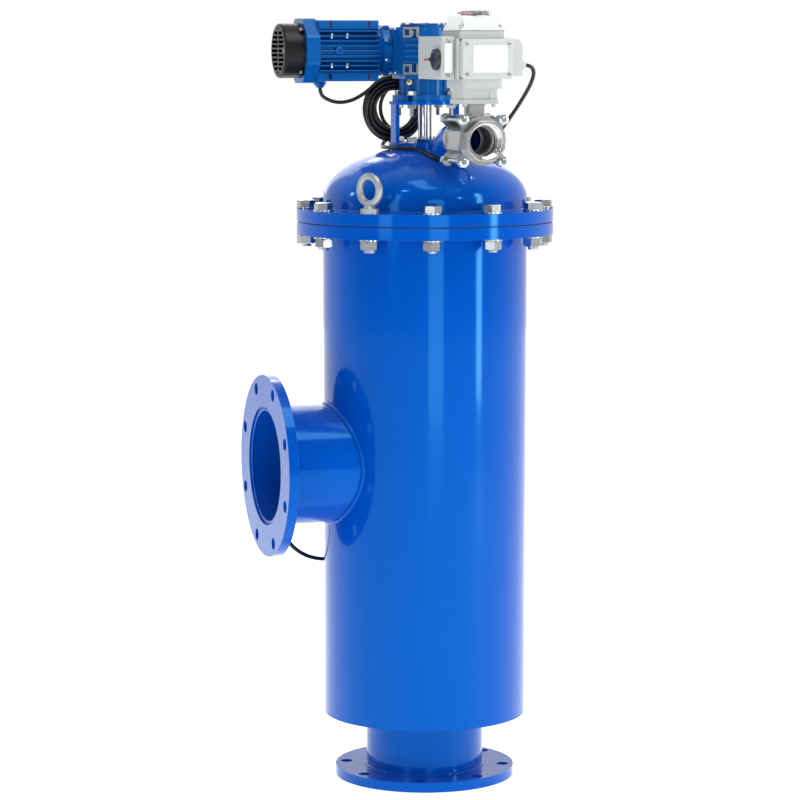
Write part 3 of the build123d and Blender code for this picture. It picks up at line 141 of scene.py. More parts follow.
def makeEdge():
    # rounds hard edges in the light and finds them, for wear
    group, given, out = newGroup("edgeRound", [("Radius", number, 0.001)],
                                 [("Normal", vector), ("Edge", number)])
    bevel = node(group, "ShaderNodeBevel", {"Radius": given.outputs["Radius"]}, samples=4)
    flat = node(group, "ShaderNodeNewGeometry")
    dot = node(group, "ShaderNodeVectorMath", {0: bevel.outputs[0], 1: flat.outputs["Normal"]},
               operation="DOT_PRODUCT")
    edge = node(group, "ShaderNodeMapRange", {"Value": dot.outputs["Value"]}, From_Min=0.985, From_Max=0.9)
    group.links.new(bevel.outputs[0], out.inputs["Normal"])
    group.links.new(edge.outputs[0], out.inputs["Edge"])
    return group


def makeDust():
    # light dust that settles on what faces up, broken by noise
    group, given, out = newGroup("dustFilm", [("Amount", number, 0.1)], [("Mask", number)])
    up = node(group, "ShaderNodeSeparateXYZ", {0: node(group, "ShaderNodeNewGeometry").outputs["Normal"]})
    facing = node(group, "ShaderNodeMapRange", {"Value": up.outputs[2]}, From_Min=0.45, From_Max=1.0)
    noise = node(group, "ShaderNodeTexNoise", {"Vector": place(group)}, Scale=60.0, Detail=5.0)
    patchy = mathNode(group, "MULTIPLY", facing.outputs[0], noise.outputs[0])
    mask = mathNode(group, "MULTIPLY", patchy, given.outputs["Amount"])
    group.links.new(mask, out.inputs["Mask"])
    return group


def makeMachined():
    # turning and milling lines left by a tool, round an axis or straight
    group, given, out = newGroup("toolLines", [("Coordinate", number, 0.0), ("Pitch", number, 0.0006),
                                               ("Depth", number, 0.2), ("Normal", vector, (0, 0, 0))],
                                 [("Normal", vector), ("Line", number)])
    turns = mathNode(group, "DIVIDE", given.outputs["Coordinate"], given.outputs["Pitch"])
    wave = mathNode(group, "SINE", mathNode(group, "MULTIPLY", turns, turnFull))
    bump = node(group, "ShaderNodeBump", {"Height": wave, "Strength": given.outputs["Depth"],
                                          "Normal": given.outputs["Normal"]}, Distance=0.0002)
    group.links.new(bump.outputs[0], out.inputs["Normal"])
    group.links.new(wave, out.inputs["Line"])
    return group


groups = {"grain": makeGrain(), "tone": makeTone(), "edge": makeEdge(), "dust": makeDust(),
          "lines": makeMachined()}


def use(tree, name, links=None, **values):
    made = tree.nodes.new("ShaderNodeGroup")
    made.node_tree = groups[name]
    for key, value in values.items():
        made.inputs[key].default_value = value
    for key, source in (links or {}).items():
        tree.links.new(source, made.inputs[key])
    return made


# what each finish looks like: linear colour, gloss, and how rough its skin is
finishes = {
    "vesselEnamel": {"colour": (0.0, 0.075, 0.465), "rough": 0.12, "tint": (0.02, 0.6, 1), "coat": 0.1,
                     "grain": (90, 0.05), "drift": 0.05, "dust": 0.06, "edge": 1.2, "slot": "vessel_paint"},
    "driveEnamel": {"colour": (0.0, 0.086, 0.345), "rough": 0.27, "tint": (0.2, 0.65, 1), "coat": 0.08,
                    # glintFlecks: how much painted glint is put into the colour as lighter flecks
                    "grain": (520, 0.3), "drift": 0.12, "dust": 0.12, "edge": 0.8, "glintFlecks": 0.5,
                    "slot": "drive_paint"},
    "zincPlate": {"colour": (0.50, 0.54, 0.57), "rough": 0.23, "metal": 1, "grain": (420, 0.08),
                  "drift": 0.16, "edge": 0.5, "slot": "zinc"},
    "dippedZinc": {"colour": (0.40, 0.43, 0.45), "rough": 0.46, "metal": 0.85, "grain": (260, 0.3),
                   "drift": 0.18, "slot": "zinc"},
    "castStainless": {"colour": (0.43, 0.44, 0.44), "rough": 0.29, "metal": 1, "grain": (1100, 0.14),
                      "drift": 0.12, "edge": 0.4, "slot": "stainless"},
    "turnedStainless": {"colour": (0.72, 0.72, 0.70), "rough": 0.16, "metal": 1, "grain": (700, 0.04),
                        "drift": 0.06, "edge": 0.4, "slot": "stainless"},
    "gasketRubber": {"colour": (0.012, 0.012, 0.013), "rough": 0.62, "grain": (800, 0.2), "drift": 0.1,
                     "slot": "rubber"},
    "cableJacket": {"colour": (0.0045, 0.005, 0.0065), "rough": 0.24, "grain": (900, 0.07), "drift": 0.12,
                    "dust": 0.02, "slot": "cable"},
    "tinBronze": {"colour": (0.55, 0.33, 0.13), "rough": 0.28, "metal": 1, "grain": (700, 0.1), "drift": 0.12,
                  "slot": "bronze"},
    "plugBrass": {"colour": (0.80, 0.60, 0.34), "rough": 0.25, "metal": 1, "grain": (900, 0.05), "drift": 0.1,
                  "edge": 0.3, "slot": "bronze"},
    "hardSteel": {"colour": (0.36, 0.36, 0.38), "rough": 0.25, "metal": 1, "grain": (900, 0.06), "drift": 0.1,
                  "slot": "worm_steel"},
    "laminations": {"colour": (0.2, 0.19, 0.18), "rough": 0.5, "metal": 1, "grain": (1300, 0.2),
                    "drift": 0.15, "slot": "lamination"},
    "cowlPlastic": {"colour": (0.0045, 0.005, 0.0065), "rough": 0.36, "grain": (1000, 0.12), "drift": 0.1,
                    "spec": 0.25, "edge": 0.5, "slot": "cowl_plastic"},
    "actuatorEnamel": {"colour": (0.51, 0.545, 0.535), "rough": 0.36, "coat": 0.15, "grain": (1500, 0.1),
                       "drift": 0.03, "edge": 0.8, "dust": 0.02, "slot": "actuator_paint"},
    # the top cover's paint is the actuator's paint made lighter: painted light falling on the top
    "lidEnamelPaintedLight": {"colour": (0.70, 0.73, 0.725), "rough": 0.34, "coat": 0.2, "grain": (1500, 0.08),
                  "drift": 0.03, "edge": 0.8, "slot": "actuator_paint"},
    "boreSteel": {"colour": (0.80, 0.80, 0.78), "rough": 0.36, "metal": 0.95, "grain": (700, 0.05),
                  "drift": 0.06, "edge": 0.4, "slot": "stainless"},
    "plateWhite": {"colour": (0.86, 0.87, 0.87), "rough": 0.45, "grain": (1500, 0.03), "drift": 0.02,
                   "edge": 0.3, "slot": "actuator_paint"},
    "knobPlastic": {"colour": (0.014, 0.022, 0.040), "rough": 0.26, "grain": (1200, 0.08), "drift": 0.1,
                    "edge": 0.8, "slot": "knob_plastic"},
    "indicatorRed": {"colour": (0.55, 0.016, 0.014), "rough": 0.38, "grain": (900, 0.06), "drift": 0.08,
                     "slot": "indicator_paint"},
    "sealPtfe": {"colour": (0.82, 0.82, 0.79), "rough": 0.5, "grain": (800, 0.05), "drift": 0.03,
                 "slot": "ptfe"},
    "switchPlastic": {"colour": (0.07, 0.075, 0.08), "rough": 0.42, "grain": (900, 0.12), "drift": 0.08,
                      "edge": 0.6, "dust": 0.03, "slot": "switch_plastic"},
}


def startMaterial(name):
    material = bpy.data.materials.new(name)
    material.use_nodes = True
    tree = material.node_tree
    return material, tree, tree.nodes["Principled BSDF"]


def mixColour(tree, factor, first, second):
    # blends two colours, each a socket or plain red, green, blue and alpha
    made = node(tree, "ShaderNodeMix", {0: factor}, data_type="RGBA")
    for index, colour in ((6, first), (7, second)):
        if isinstance(colour, tuple):
            made.inputs[index].default_value = colour
        else:
            tree.links.new(colour, made.inputs[index])
    return made.outputs[2]


# what wear, the painted glints of sparkle, and dust do to a finish that asks for them
weathering = {"edgeLift": 0.12, "paintedGlintSize": 900.0, "paintedGlint": (0.12, 0.33, 0.78, 1),
              "dust": (0.55, 0.6, 0.66, 1), "dustRough": 0.6, "coatRough": 0.035}


def makeFinish(name, look):
    material, tree, shader = startMaterial(name)
    tone = use(tree, "tone", Color=(*look["colour"], 1), Amount=look["drift"], Roughness=look["rough"])
    grain = use(tree, "grain", Size=look["grain"][0], Depth=look["grain"][1])
    base, rough, normal = tone.outputs["Color"], tone.outputs["Roughness"], grain.outputs["Normal"]
    if look.get("edge"):
        edge = use(tree, "edge", Radius=look["edge"] * mm)
        # the grain's bump is laid over the rounded edge by adding what each one bends
        bent = node(tree, "ShaderNodeVectorMath", {0: normal, 1: edge.outputs["Normal"]}, operation="ADD")
        normal = node(tree, "ShaderNodeVectorMath", {0: bent.outputs[0]}, operation="NORMALIZE").outputs[0]
        lift = mathNode(tree, "MULTIPLY", edge.outputs["Edge"], weathering["edgeLift"])
        base = mixColour(tree, lift, base, (*[min(1, c * 1.5 + 0.1) for c in look["colour"]], 1))
    if look.get("glintFlecks"):
        # painted highlight: lighter flecks in the colour stand in for the sparkle of a metallic paint over a
        # rough casting
        cells = node(tree, "ShaderNodeTexVoronoi", {"Vector": place(tree)}, Scale=weathering["paintedGlintSize"])
        paintedGlint = node(tree, "ShaderNodeMapRange", {"Value": cells.outputs["Distance"]}, From_Min=0.16,
                     From_Max=0.08)
        amount = mathNode(tree, "MULTIPLY", paintedGlint.outputs[0], look["glintFlecks"])
        base = mixColour(tree, amount, base, weathering["paintedGlint"])
    if look.get("dust"):
        film = use(tree, "dust", Amount=look["dust"]).outputs["Mask"]
        base = mixColour(tree, film, base, weathering["dust"])
        rough = mathNode(tree, "ADD", rough, mathNode(tree, "MULTIPLY", film, weathering["dustRough"]),
                         clamp=True)
    tree.links.new(base, shader.inputs["Base Color"])
    tree.links.new(rough, shader.inputs["Roughness"])
    tree.links.new(normal, shader.inputs["Normal"])
    shader.inputs["Metallic"].default_value = look.get("metal", 0)
    shader.inputs["Coat Weight"].default_value = look.get("coat", 0)
    shader.inputs["Coat Roughness"].default_value = weathering["coatRough"]
    shader.inputs["Specular IOR Level"].default_value = look.get("spec", 0.5)
    shader.inputs["Specular Tint"].default_value = (*look.get("tint", (1, 1, 1)), 1)
    return material


materials = {name: makeFinish(name, look) for name, look in finishes.items()}


def makeWindow():
    material, tree, shader = startMaterial("clearWindow")
    tone = use(tree, "tone", Color=(0.93, 0.96, 0.97, 1), Amount=0.02, Roughness=0.06)
    tree.links.new(tone.outputs["Color"], shader.inputs["Base Color"])
    tree.links.new(tone.outputs["Roughness"], shader.inputs["Roughness"])
    shader.inputs["Transmission Weight"].default_value = 0.92
    shader.inputs["IOR"].default_value = 1.3
    return material


def variantOf(finish, name):
    # a copy of a finish, with its shader and the place on the surface as X, Y and Z
    material = materials[finish].copy()
    material.name = name
    tree = material.node_tree
    spot = node(tree, "ShaderNodeSeparateXYZ", {0: place(tree)})
    return material, tree, tree.nodes["Principled BSDF"], spot.outputs


def fed(shader, name):
    return shader.inputs[name].links[0].from_socket


def distance(tree, first, second):
    # how far a point lies from an axis, from its two offsets
    squares = [mathNode(tree, "POWER", offset, 2) for offset in (first, second)]
    return mathNode(tree, "SQRT", mathNode(tree, "ADD", *squares))


def makeIndicator():
    # the flag under the window: a red edge on one side of a dark disc, which turns with the spindle
    material, tree, shader, spot = variantOf("indicatorRed", "indicatorFlag")
    side = node(tree, "ShaderNodeMapRange", {"Value": spot[0]}, From_Min=-0.0055, From_Max=-0.006)
    colour = mixColour(tree, side.outputs[0], (0.012, 0.012, 0.03, 1), fed(shader, "Base Color"))
    tree.links.new(colour, shader.inputs["Base Color"])
    return material


def makeGearPaint():
    # drive paint whose four foot faces are machined bare
    material, tree, shader, spot = variantOf("driveEnamel", "gearboxEnamel")
    faced = node(tree, "ShaderNodeMapRange", {"Value": spot[1]}, From_Min=-0.0598,
                 From_Max=-0.05995).outputs[0]
    colour = mixColour(tree, faced, fed(shader, "Base Color"), (0.40, 0.41, 0.42, 1))
    tree.links.new(colour, shader.inputs["Base Color"])
    for socket, bare in (("Metallic", 1.0), ("Coat Weight", 0.0)):
        mix = node(tree, "ShaderNodeMix", {0: faced}, data_type="FLOAT")
        mix.inputs[2].default_value = shader.inputs[socket].default_value
        mix.inputs[3].default_value = bare
        tree.links.new(mix.outputs[0], shader.inputs[socket])
    return material


def makeFlangePaint():
    # enamel over a turned sealing face: faint rings round the outlet's axis
    material, tree, shader, spot = variantOf("vesselEnamel", "outletEnamel")
    reach = distance(tree, spot[1], mathNode(tree, "SUBTRACT", spot[2], outletHeight * mm))
    faced = node(tree, "ShaderNodeMapRange", {"Value": spot[0]}, From_Min=-0.3095, From_Max=-0.3099,
                 To_Max=0.35)
    lines = use(tree, "lines", {"Coordinate": reach, "Depth": faced.outputs[0],
                                "Normal": fed(shader, "Normal")},
                Pitch=0.0042)
    tree.links.new(lines.outputs["Normal"], shader.inputs["Normal"])
    return material


def makeTurnedBore():
    # the ball: bright, with tool lines across the bore's axis
    material, tree, shader, spot = variantOf("boreSteel", "turnedBore")
    lines = use(tree, "lines", {"Coordinate": spot[1], "Normal": fed(shader, "Normal")}, Pitch=0.0007,
                Depth=0.25)
    tree.links.new(lines.outputs["Normal"], shader.inputs["Normal"])
    return material


def makeCapSteel():
    # investment casting whose bore, mouth and end face are turned bright
    material, tree, shader, spot = variantOf("castStainless", "valveCapSteel")
    reach = distance(tree, mathNode(tree, "SUBTRACT", spot[0], stemX * mm),
                     mathNode(tree, "SUBTRACT", spot[2], heights["valve"] * mm))
    bore = node(tree, "ShaderNodeMapRange", {"Value": reach}, From_Min=0.0332, From_Max=0.0326).outputs[0]
    colour = mixColour(tree, bore, fed(shader, "Base Color"), (0.78, 0.78, 0.76, 1))
    tree.links.new(colour, shader.inputs["Base Color"])
    drop = mathNode(tree, "MULTIPLY", bore, 0.17)
    tree.links.new(mathNode(tree, "SUBTRACT", fed(shader, "Roughness"), drop), shader.inputs["Roughness"])
    lines = use(tree, "lines", {"Coordinate": spot[1], "Depth": mathNode(tree, "MULTIPLY", bore, 0.3),
                                "Normal": fed(shader, "Normal")}, Pitch=0.0008)
    tree.links.new(lines.outputs["Normal"], shader.inputs["Normal"])
    return material


materials["clearWindow"] = makeWindow()
materials["indicatorFlag"] = makeIndicator()
materials["gearboxEnamel"] = makeGearPaint()
materials["outletEnamel"] = makeFlangePaint()
materials["turnedBore"] = makeTurnedBore()
materials["valveCapSteel"] = makeCapSteel()
print("materials made:", len(materials))

# the CAD nodes and the finish each one gets
dressed = {
    "vesselEnamel": "vessel_shell inlet_nozzle body_flange cover_flange cover_dome drive_yoke"
                    " drain_elbow chamber_plate",
    "outletEnamel": "outlet_nozzle",
    "driveEnamel": "gearbox_flange output_cover motor_flange motor_housing motor_end_ring"
                   " terminal_box gland_follower motor_gland",
    "gearboxEnamel": "gearbox_housing",
    "dippedZinc": "eye_bolts",
    "zincPlate": "cover_bolts cover_nuts plate_screws yoke_bolts housing_screws valve_bolts",
    "castStainless": "valve_body actuator_bracket bottom_spider screen_cage wire_screen"
                     " scanner_tube suction_nozzles",
    "turnedStainless": "drive_shaft valve_stem",
    "turnedBore": "valve_ball",
    "valveCapSteel": "valve_end_caps",
    "gasketRubber": "main_gasket screen_seals shaft_seals",
    "cableJacket": "motor_cord actuator_cord sensing_hose cord_coil",
    "tinBronze": "worm_wheel scanner_bushes",
    "hardSteel": "worm_shaft bearings motor_rotor",
    "laminations": "motor_stator",
    "cowlPlastic": "fan_cowl motor_fan",
    "actuatorEnamel": "actuator_body actuator_covers actuator_gland",
    "lidEnamelPaintedLight": "top_cover",
    "knobPlastic": "override_knob",
    "clearWindow": "indicator_window",
    "indicatorFlag": "position_indicator",
    "sealPtfe": "valve_seats",
    "switchPlastic": "pressure_switch",
}
for finish, names in dressed.items():
    for name in names.split():
        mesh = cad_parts[name].data
        mesh.materials.clear()
        mesh.materials.append(materials[finish])
print("CAD nodes dressed")


# mesh helpers
def keep(name, bm, finish, body="filter", smooth=35, replaces=()):
    mesh = bpy.data.meshes.new(name)
    bm.normal_update()
    bm.to_mesh(mesh)
    bm.free()
    made = bpy.data.objects.new(name, mesh)
    collection.objects.link(made)
    mesh.materials.append(materials[finish])
    for face in mesh.polygons:
        face.use_smooth = True
    mesh.set_sharp_from_angle(angle=math.radians(smooth))
    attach(made, body)
    if replaces:
        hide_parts(*replaces)
    return made


def at(x, y, z, aim=(0, 0, 1), spin=0.0):
    # a place in mm whose own Z looks along aim
    turn = Vector((0, 0, 1)).rotation_difference(Vector(aim).normalized()).to_matrix().to_4x4()
    return Matrix.Translation(Vector((x, y, z)) * mm) @ turn @ Matrix.Rotation(spin, 4, "Z")


def lathe(bm, where, outline, steps=32, reach=None):
    # outline: (radius, height) pairs in mm; reach(angle, radius, height) may bend the radius or height
    rings = []
    for radius, height in outline:
        ring = []
        if radius <= 0:
            ring.append(bm.verts.new(where @ (Vector((0, 0, height)) * mm)))
        else:
            for step in range(steps):
                angle = turnFull * step / steps
                r, h = reach(angle, radius, height) if reach else (radius, height)
                ring.append(bm.verts.new(where @ (Vector((r * math.cos(angle), r * math.sin(angle),
                                                          h)) * mm)))
        rings.append(ring)
    for low, high in zip(rings, rings[1:]):
        for step in range(steps):
            after = (step + 1) % steps
            if len(low) == 1 and len(high) == 1:
                continue
            if len(low) == 1:
                bm.faces.new((low[0], high[after], high[step]))
            elif len(high) == 1:
                bm.faces.new((low[step], low[after], high[0]))
            else:
                bm.faces.new((low[step], low[after], high[after], high[step]))
    return rings


def hexReach(flats):
    def bend(angle, radius, height):
        off = (angle + math.pi / 6) % (math.pi / 3) - math.pi / 6
        return flats / 2 / math.cos(off) * radius, height
    return bend


def hexHead(bm, where, flats, height, under=False):
    # forged hexagon: the corners fall away at 30 degrees from a round top face
    full = hexReach(flats)
    fall = math.tan(math.radians(30))
    crown = 0.94  # how far out the round top face reaches

    def shape(angle, radius, z):
        if abs(radius) < 1:
            return flats / 2 * radius, z
        r, _ = full(angle, 1, z)
        drop = max(0, r - flats / 2 * crown) * fall
        if z >= height - 0.01:
            return r, height - drop
        if under and z <= 0.01:
            return r, drop
        return r, z
    if under:
        outline = [(0.0, 0.0), (crown, 0.0), (1.0, 0.0), (1.0, height), (crown, height), (0.0, height)]
    else:
        outline = [(0.0, 0.0), (1.0, 0.0), (1.0, height), (crown, height), (0.3, height + 0.02),
                   (0.0, height)]
    lathe(bm, where, outline, 36, shape)


def threadRod(bm, where, radius, low, high, pitch, steps=20):
    # a screw thread as a surface whose radius follows the helix, with a chamfered end at high
    rings = max(2, int((high - low) / pitch * 4))
    outline = [(0, low), (radius, low)]
    outline += [(radius, low + (high - low) * n / rings) for n in range(1, rings)]
    outline += [(radius * 0.82, high), (0, high)]

    def shape(angle, r, z):
        if r < radius or z <= low:
            return r, z
        phase = (z / pitch - angle / turnFull) % 1
        return r - 0.55 * pitch * abs(phase - 0.5) * 2 * 0.9, z
    lathe(bm, where, outline, steps, shape)


def washer(bm, where, outer, inner, thick):
    edge = min(0.4, thick / 4)
    lathe(bm, where, [(inner, 0), (outer - edge, 0), (outer, edge), (outer, thick - edge),
                      (outer - edge, thick), (inner, thick), (inner, 0)], 32)


def ringSpots(count, radius, first=0.0, skip=()):
    spots = []
    for step in range(count):
        if step not in skip:
            angle = math.radians(first + 360 * step / count)
            spots.append((radius * math.cos(angle), radius * math.sin(angle)))
    return spots


def boxAt(bm, centre, size, round_=0.6, turn=None):
    made = bmesh.ops.create_cube(bm, size=1)["verts"]
    bmesh.ops.scale(bm, vec=Vector(size) * mm, verts=made)
    edges = {edge for vert in made for edge in vert.link_edges}
    result = bmesh.ops.bevel(bm, geom=list(edges), offset=round_ * mm, segments=2, profile=0.5,
                             affect="EDGES")
    verts = {vert for face in result["faces"] for vert in face.verts} | {v for v in made if v.is_valid}
    if turn is not None:
        bmesh.ops.transform(bm, matrix=turn, verts=list(verts))
    bmesh.ops.translate(bm, vec=Vector(centre) * mm, verts=list(verts))


# cords: the same control points as the CAD's routes, plus the turns of the spare coil
cordSettings = {"diameter": 7, "hoseDiameter": 8,
                "coil": {"centre": (-27, 100, 1247), "turn": -18.4, "wide": 47, "tall": 50}}


def makeCord(name, points, diameter, replaced, finish="cableJacket"):
    curve = bpy.data.curves.new(name, "CURVE")
    curve.dimensions = "3D"
    curve.bevel_depth = diameter / 2 * mm
    curve.bevel_resolution = 5
    curve.resolution_u = 10
    curve.use_fill_caps = True
    spline = curve.splines.new("NURBS")
    spline.points.add(len(points) - 1)
    for point, (x, y, z) in zip(spline.points, points):
        point.co = (x * mm, y * mm, z * mm, 1)
    spline.order_u = 3
    spline.use_endpoint_u = True
    made = bpy.data.objects.new(name, curve)
    collection.objects.link(made)
    curve.materials.append(materials[finish])
    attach(made, "filter")
    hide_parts(*replaced)
    return made


def coilSpot(angle, outward, forward):
    # a point of the coil's bundle: angle round the coil, outward from its middle line, forward to the viewer
    coil = cordSettings["coil"]
    heading = math.radians(coil["turn"])
    right = Vector((math.cos(heading), math.sin(heading), 0))
    front = Vector((math.sin(heading), -math.cos(heading), 0))
    u = (coil["wide"] + outward) * math.cos(angle)
    v = (coil["tall"] + outward) * math.sin(angle)
    return tuple(Vector(coil["centre"]) + right * u + Vector((0, 0, v)) + front * forward)


def coilTurns(start, turns, direction, lanes, stray=0):
    # each turn of the coil lies in its own lane of the bundle, given as outward and forward, so no two meet
    spots, perTurn = [], 16
    for step in range(int(turns * perTurn) + 1):
        done = step / perTurn
        angle = math.radians(start) + direction * turnFull * done
        lane, share = int(done), done - int(done)
        (out1, front1), (out2, front2) = lanes[lane], lanes[lane + 1]
        outward = out1 + (out2 - out1) * share + 1.1 * math.sin(2 * angle + 0.8 * done)
        forward = front1 + (front2 - front1) * share + 0.8 * math.sin(3 * angle + 1.3 * done)
        late = max(0.0, min(1.0, (done - turns + 0.95) * 4))
        outward -= stray * late * max(0.0, -math.cos(angle))
        spots.append(coilSpot(angle, outward, forward))
    return spots


motorRoute = [(-166, 122.5, 1292.25), (-166, 122.5, 1276.25), (-156, 121, 1266), (-133, 118, 1258),
              (-106, 115, 1262), (-80, 111, 1277)]
motorLanes = [(11.5, 6.2), (3.9, 6.9), (-3.6, 6.5), (-11, 5.7), (-9.3, -1.2), (-2, -0.6), (5.5, -0.4),
              (12.6, -0.8), (13, -1.5)]
motorRoute += coilTurns(124, 7.3, -1, motorLanes)
motorCord = makeCord("motorCord", motorRoute, cordSettings["diameter"], ["motor_cord", "cord_coil"])
actuatorRoute = [(90, -267.9, 1331), (106, -267.9, 1331), (116, -265, 1321), (115, -258, 1303),
                 (107, -246, 1280),
                 (93, -230, 1250), (80, -212, 1224), (66, -190, 1194), (54, -162, 1172), (36, -140, 1160),
                 (7, -143, 1154), (-19, -128, 1160), (-29, -101, 1171), (-36, -74, 1178), (-53, -53, 1179),
                 (-70, -30, 1179), (-78, 0, 1179), (-75, 29, 1179), (-65, 56, 1181), (-53, 78, 1188)]
actuatorLanes = [(7.2, -7.6), (-0.4, -7.7), (-8, -7.4), (-11, -7)]
actuatorRoute += coilTurns(-100, 2.3, 1, actuatorLanes, stray=15)
actuatorCord = makeCord("actuatorCord", actuatorRoute, cordSettings["diameter"], ["actuator_cord"])
print("cord routes laid")

# the hose starts in the socket on the lower back of the outlet pipe
socketFoot, socketAim = Vector((-252, 0, outletHeight)), Vector((0, 1, -1)).normalized()
tail, drop = socketFoot + socketAim * 122.5, socketFoot + socketAim * 143.5
hoseRoute = [tuple(tail), tuple(drop), (-249, 112, 476), (-240, 120, 445), (-221, 124, 420), (-194, 128, 402),
             (-160, 140, 392), (-124, 164, 389), (-88, 193, 393), (-60, 214, 398), (-35, 214, 398)]
sensingHose = makeCord("sensingHose", hoseRoute, cordSettings["hoseDiameter"], ["sensing_hose"])

# sleeves on the two bare ends of the spare cable
cordEnds = {"sleeveLength": 26, "sleeveRadius": 4.3}


def endSleeve(name, points):
    tip, before = Vector(points[-1]), Vector(points[-2])
    along = (tip - before).normalized()
    bm = bmesh.new()
    r, length = cordEnds["sleeveRadius"], cordEnds["sleeveLength"]
    start = tip - along * (length * 0.7)
    lathe(bm, at(*start, aim=along),
          [(0, 0), (r - 0.6, 0), (r, 0.8), (r, length - 3), (r - 1.2, length), (0, length)], 20)
    return keep(name, bm, "cableJacket", smooth=50)


motorEnd = endSleeve("motorCordEnd", motorRoute)
actuatorEnd = endSleeve("actuatorCordEnd", actuatorRoute)

# cable tie round the coil near its top, and hose clamps
tieBand = {"angle": 72, "reach": 16.2, "wide": 4.6, "thick": 1.1}


def cableTie():
    bm = bmesh.new()
    angle = math.radians(tieBand["angle"])
    half = tieBand["wide"] / 2 / cordSettings["coil"]["wide"]
    rings = []
    for side, radius in ((-1, tieBand["reach"]), (-1, tieBand["reach"] + tieBand["thick"]),
                         (1, tieBand["reach"] + tieBand["thick"]), (1, tieBand["reach"])):
        ring = []
        for step in range(28):
            around = turnFull * step / 28
            spot = coilSpot(angle + side * half, radius * math.cos(around), radius * math.sin(around))
            ring.append(bm.verts.new(Vector(spot) * mm))
        rings.append(ring)
    for first, second in zip(rings, rings[1:] + rings[:1]):
        for step in range(28):
            after = (step + 1) % 28
            bm.faces.new((first[step], first[after], second[after], second[step]))
    bmesh.ops.recalc_face_normals(bm, faces=bm.faces)
    head = Vector(coilSpot(angle, 4, tieBand["reach"] + 2.4))
    boxAt(bm, head, (6, 5, 5.4), 0.8, Matrix.Rotation(math.radians(cordSettings["coil"]["turn"]), 4, "Z"))
    return keep("cableTie", bm, "cowlPlastic")


cableTie()


def hoseClamp(name, spot, aim):
    bm = bmesh.new()
    lathe(bm, at(*spot, aim=aim), [(4.2, 0), (5.1, 0), (5.1, 5), (4.2, 5), (4.2, 0)], 24)
    boxAt(bm, Vector(spot) + Vector((0, 6.4, 0)), (6, 3, 4.4), 0.5)
    return keep(name, bm, "zincPlate")


hoseClamp("hoseClampUpper", tuple(tail + (drop - tail).normalized() * 12), drop - tail)
hoseClamp("hoseClampLower", (-52, 214, 398), (1, 0, 0))
print("cords and their fittings done")

# cover joint: forged heads, washers, nuts and the threads that stand out below
coverJoint = {"count": 12, "circle": 220, "first": 15, "eyes": (1, 7), "flats": 30, "head": 13, "nut": 16,
              "washer": (18.5, 10.05, 3), "past": 5, "radius": 10, "pitch": 2.5}


def coverFasteners():
    heads, nuts = bmesh.new(), bmesh.new()
    joint = coverJoint
    outer, inner, thick = joint["washer"]
    for step, (x, y) in enumerate(ringSpots(joint["count"], joint["circle"], joint["first"])):
        spin, nutSpin = random.uniform(0, 1), random.uniform(0, 1)
        if step not in joint["eyes"]:
            washer(nuts, at(x, y, heights["coverTop"]), outer, inner, thick)
            hexHead(heads, at(x, y, heights["coverTop"] + thick, spin=spin), joint["flats"], joint["head"])
            end = heights["shellTop"] - thick - joint["nut"] - joint["past"]
            threadRod(heads, at(x, y, heights["coverTop"], (0, 0, -1), spin), joint["radius"],
                      joint["nut"] + thick + 24, heights["coverTop"] - end, joint["pitch"])
        washer(nuts, at(x, y, heights["shellTop"] - thick), outer, inner, thick)
        hexHead(nuts, at(x, y, heights["shellTop"] - thick, (0, 0, -1), nutSpin), joint["flats"],
                joint["nut"], True)
    keep("coverBoltsForged", heads, "zincPlate", replaces=["cover_bolts"])
    keep("coverNutsForged", nuts, "zincPlate", replaces=["cover_nuts"])


coverFasteners()

# yoke: four base bolts, four follower screws, four through bolts with nuts and long threads
yokeJoint = {"base": (54, 17, 10), "follower": (20.3, 7, 3.5), "through": (53.5, 15, 8), "nut": 7, "stud": 4,
             "length": 38}


def yokeFasteners():
    bm = bmesh.new()
    circle, flats, head = yokeJoint["base"]
    for x, y in ringSpots(4, circle, 45):
        washer(bm, at(x, y, heights["yokeBase"]), flats * 0.62, 5.2, 1.2)
        hexHead(bm, at(x, y, heights["yokeBase"] + 1.2, spin=random.uniform(0, 1)), flats, head - 1.2)
    circle, flats, head = yokeJoint["follower"]
    for x, y in ringSpots(4, circle, 45):
        hexHead(bm, at(x, y, heights["yokeBase"] + 6, spin=random.uniform(0, 1)), flats, head)
    circle, flats, head = yokeJoint["through"]
    for x, y in ringSpots(4, circle, 45):
        washer(bm, at(x, y, heights["flangePlate"]), flats * 0.6, 4.2, 1)
        hexHead(bm, at(x, y, heights["flangePlate"] + 1, spin=random.uniform(0, 1)), flats, head - 1)
        washer(bm, at(x, y, heights["yokeTopUnder"] - 1), flats * 0.6, 4.2, 1)
        hexHead(bm, at(x, y, heights["yokeTopUnder"] - 1, (0, 0, -1), random.uniform(0, 1)), flats,
                yokeJoint["nut"] - 1, True)
        threadRod(bm, at(x, y, heights["flangePlate"], (0, 0, -1)), yokeJoint["stud"], 17,
                  yokeJoint["length"], 1.25)
    keep("yokeFasteners", bm, "zincPlate", replaces=["yoke_bolts"])


yokeFasteners()

# drain valve: four long bolts through both caps
valveJoint = {"half": 37, "front": 45, "flats": 17, "head": 8, "stud": 5, "past": 12}


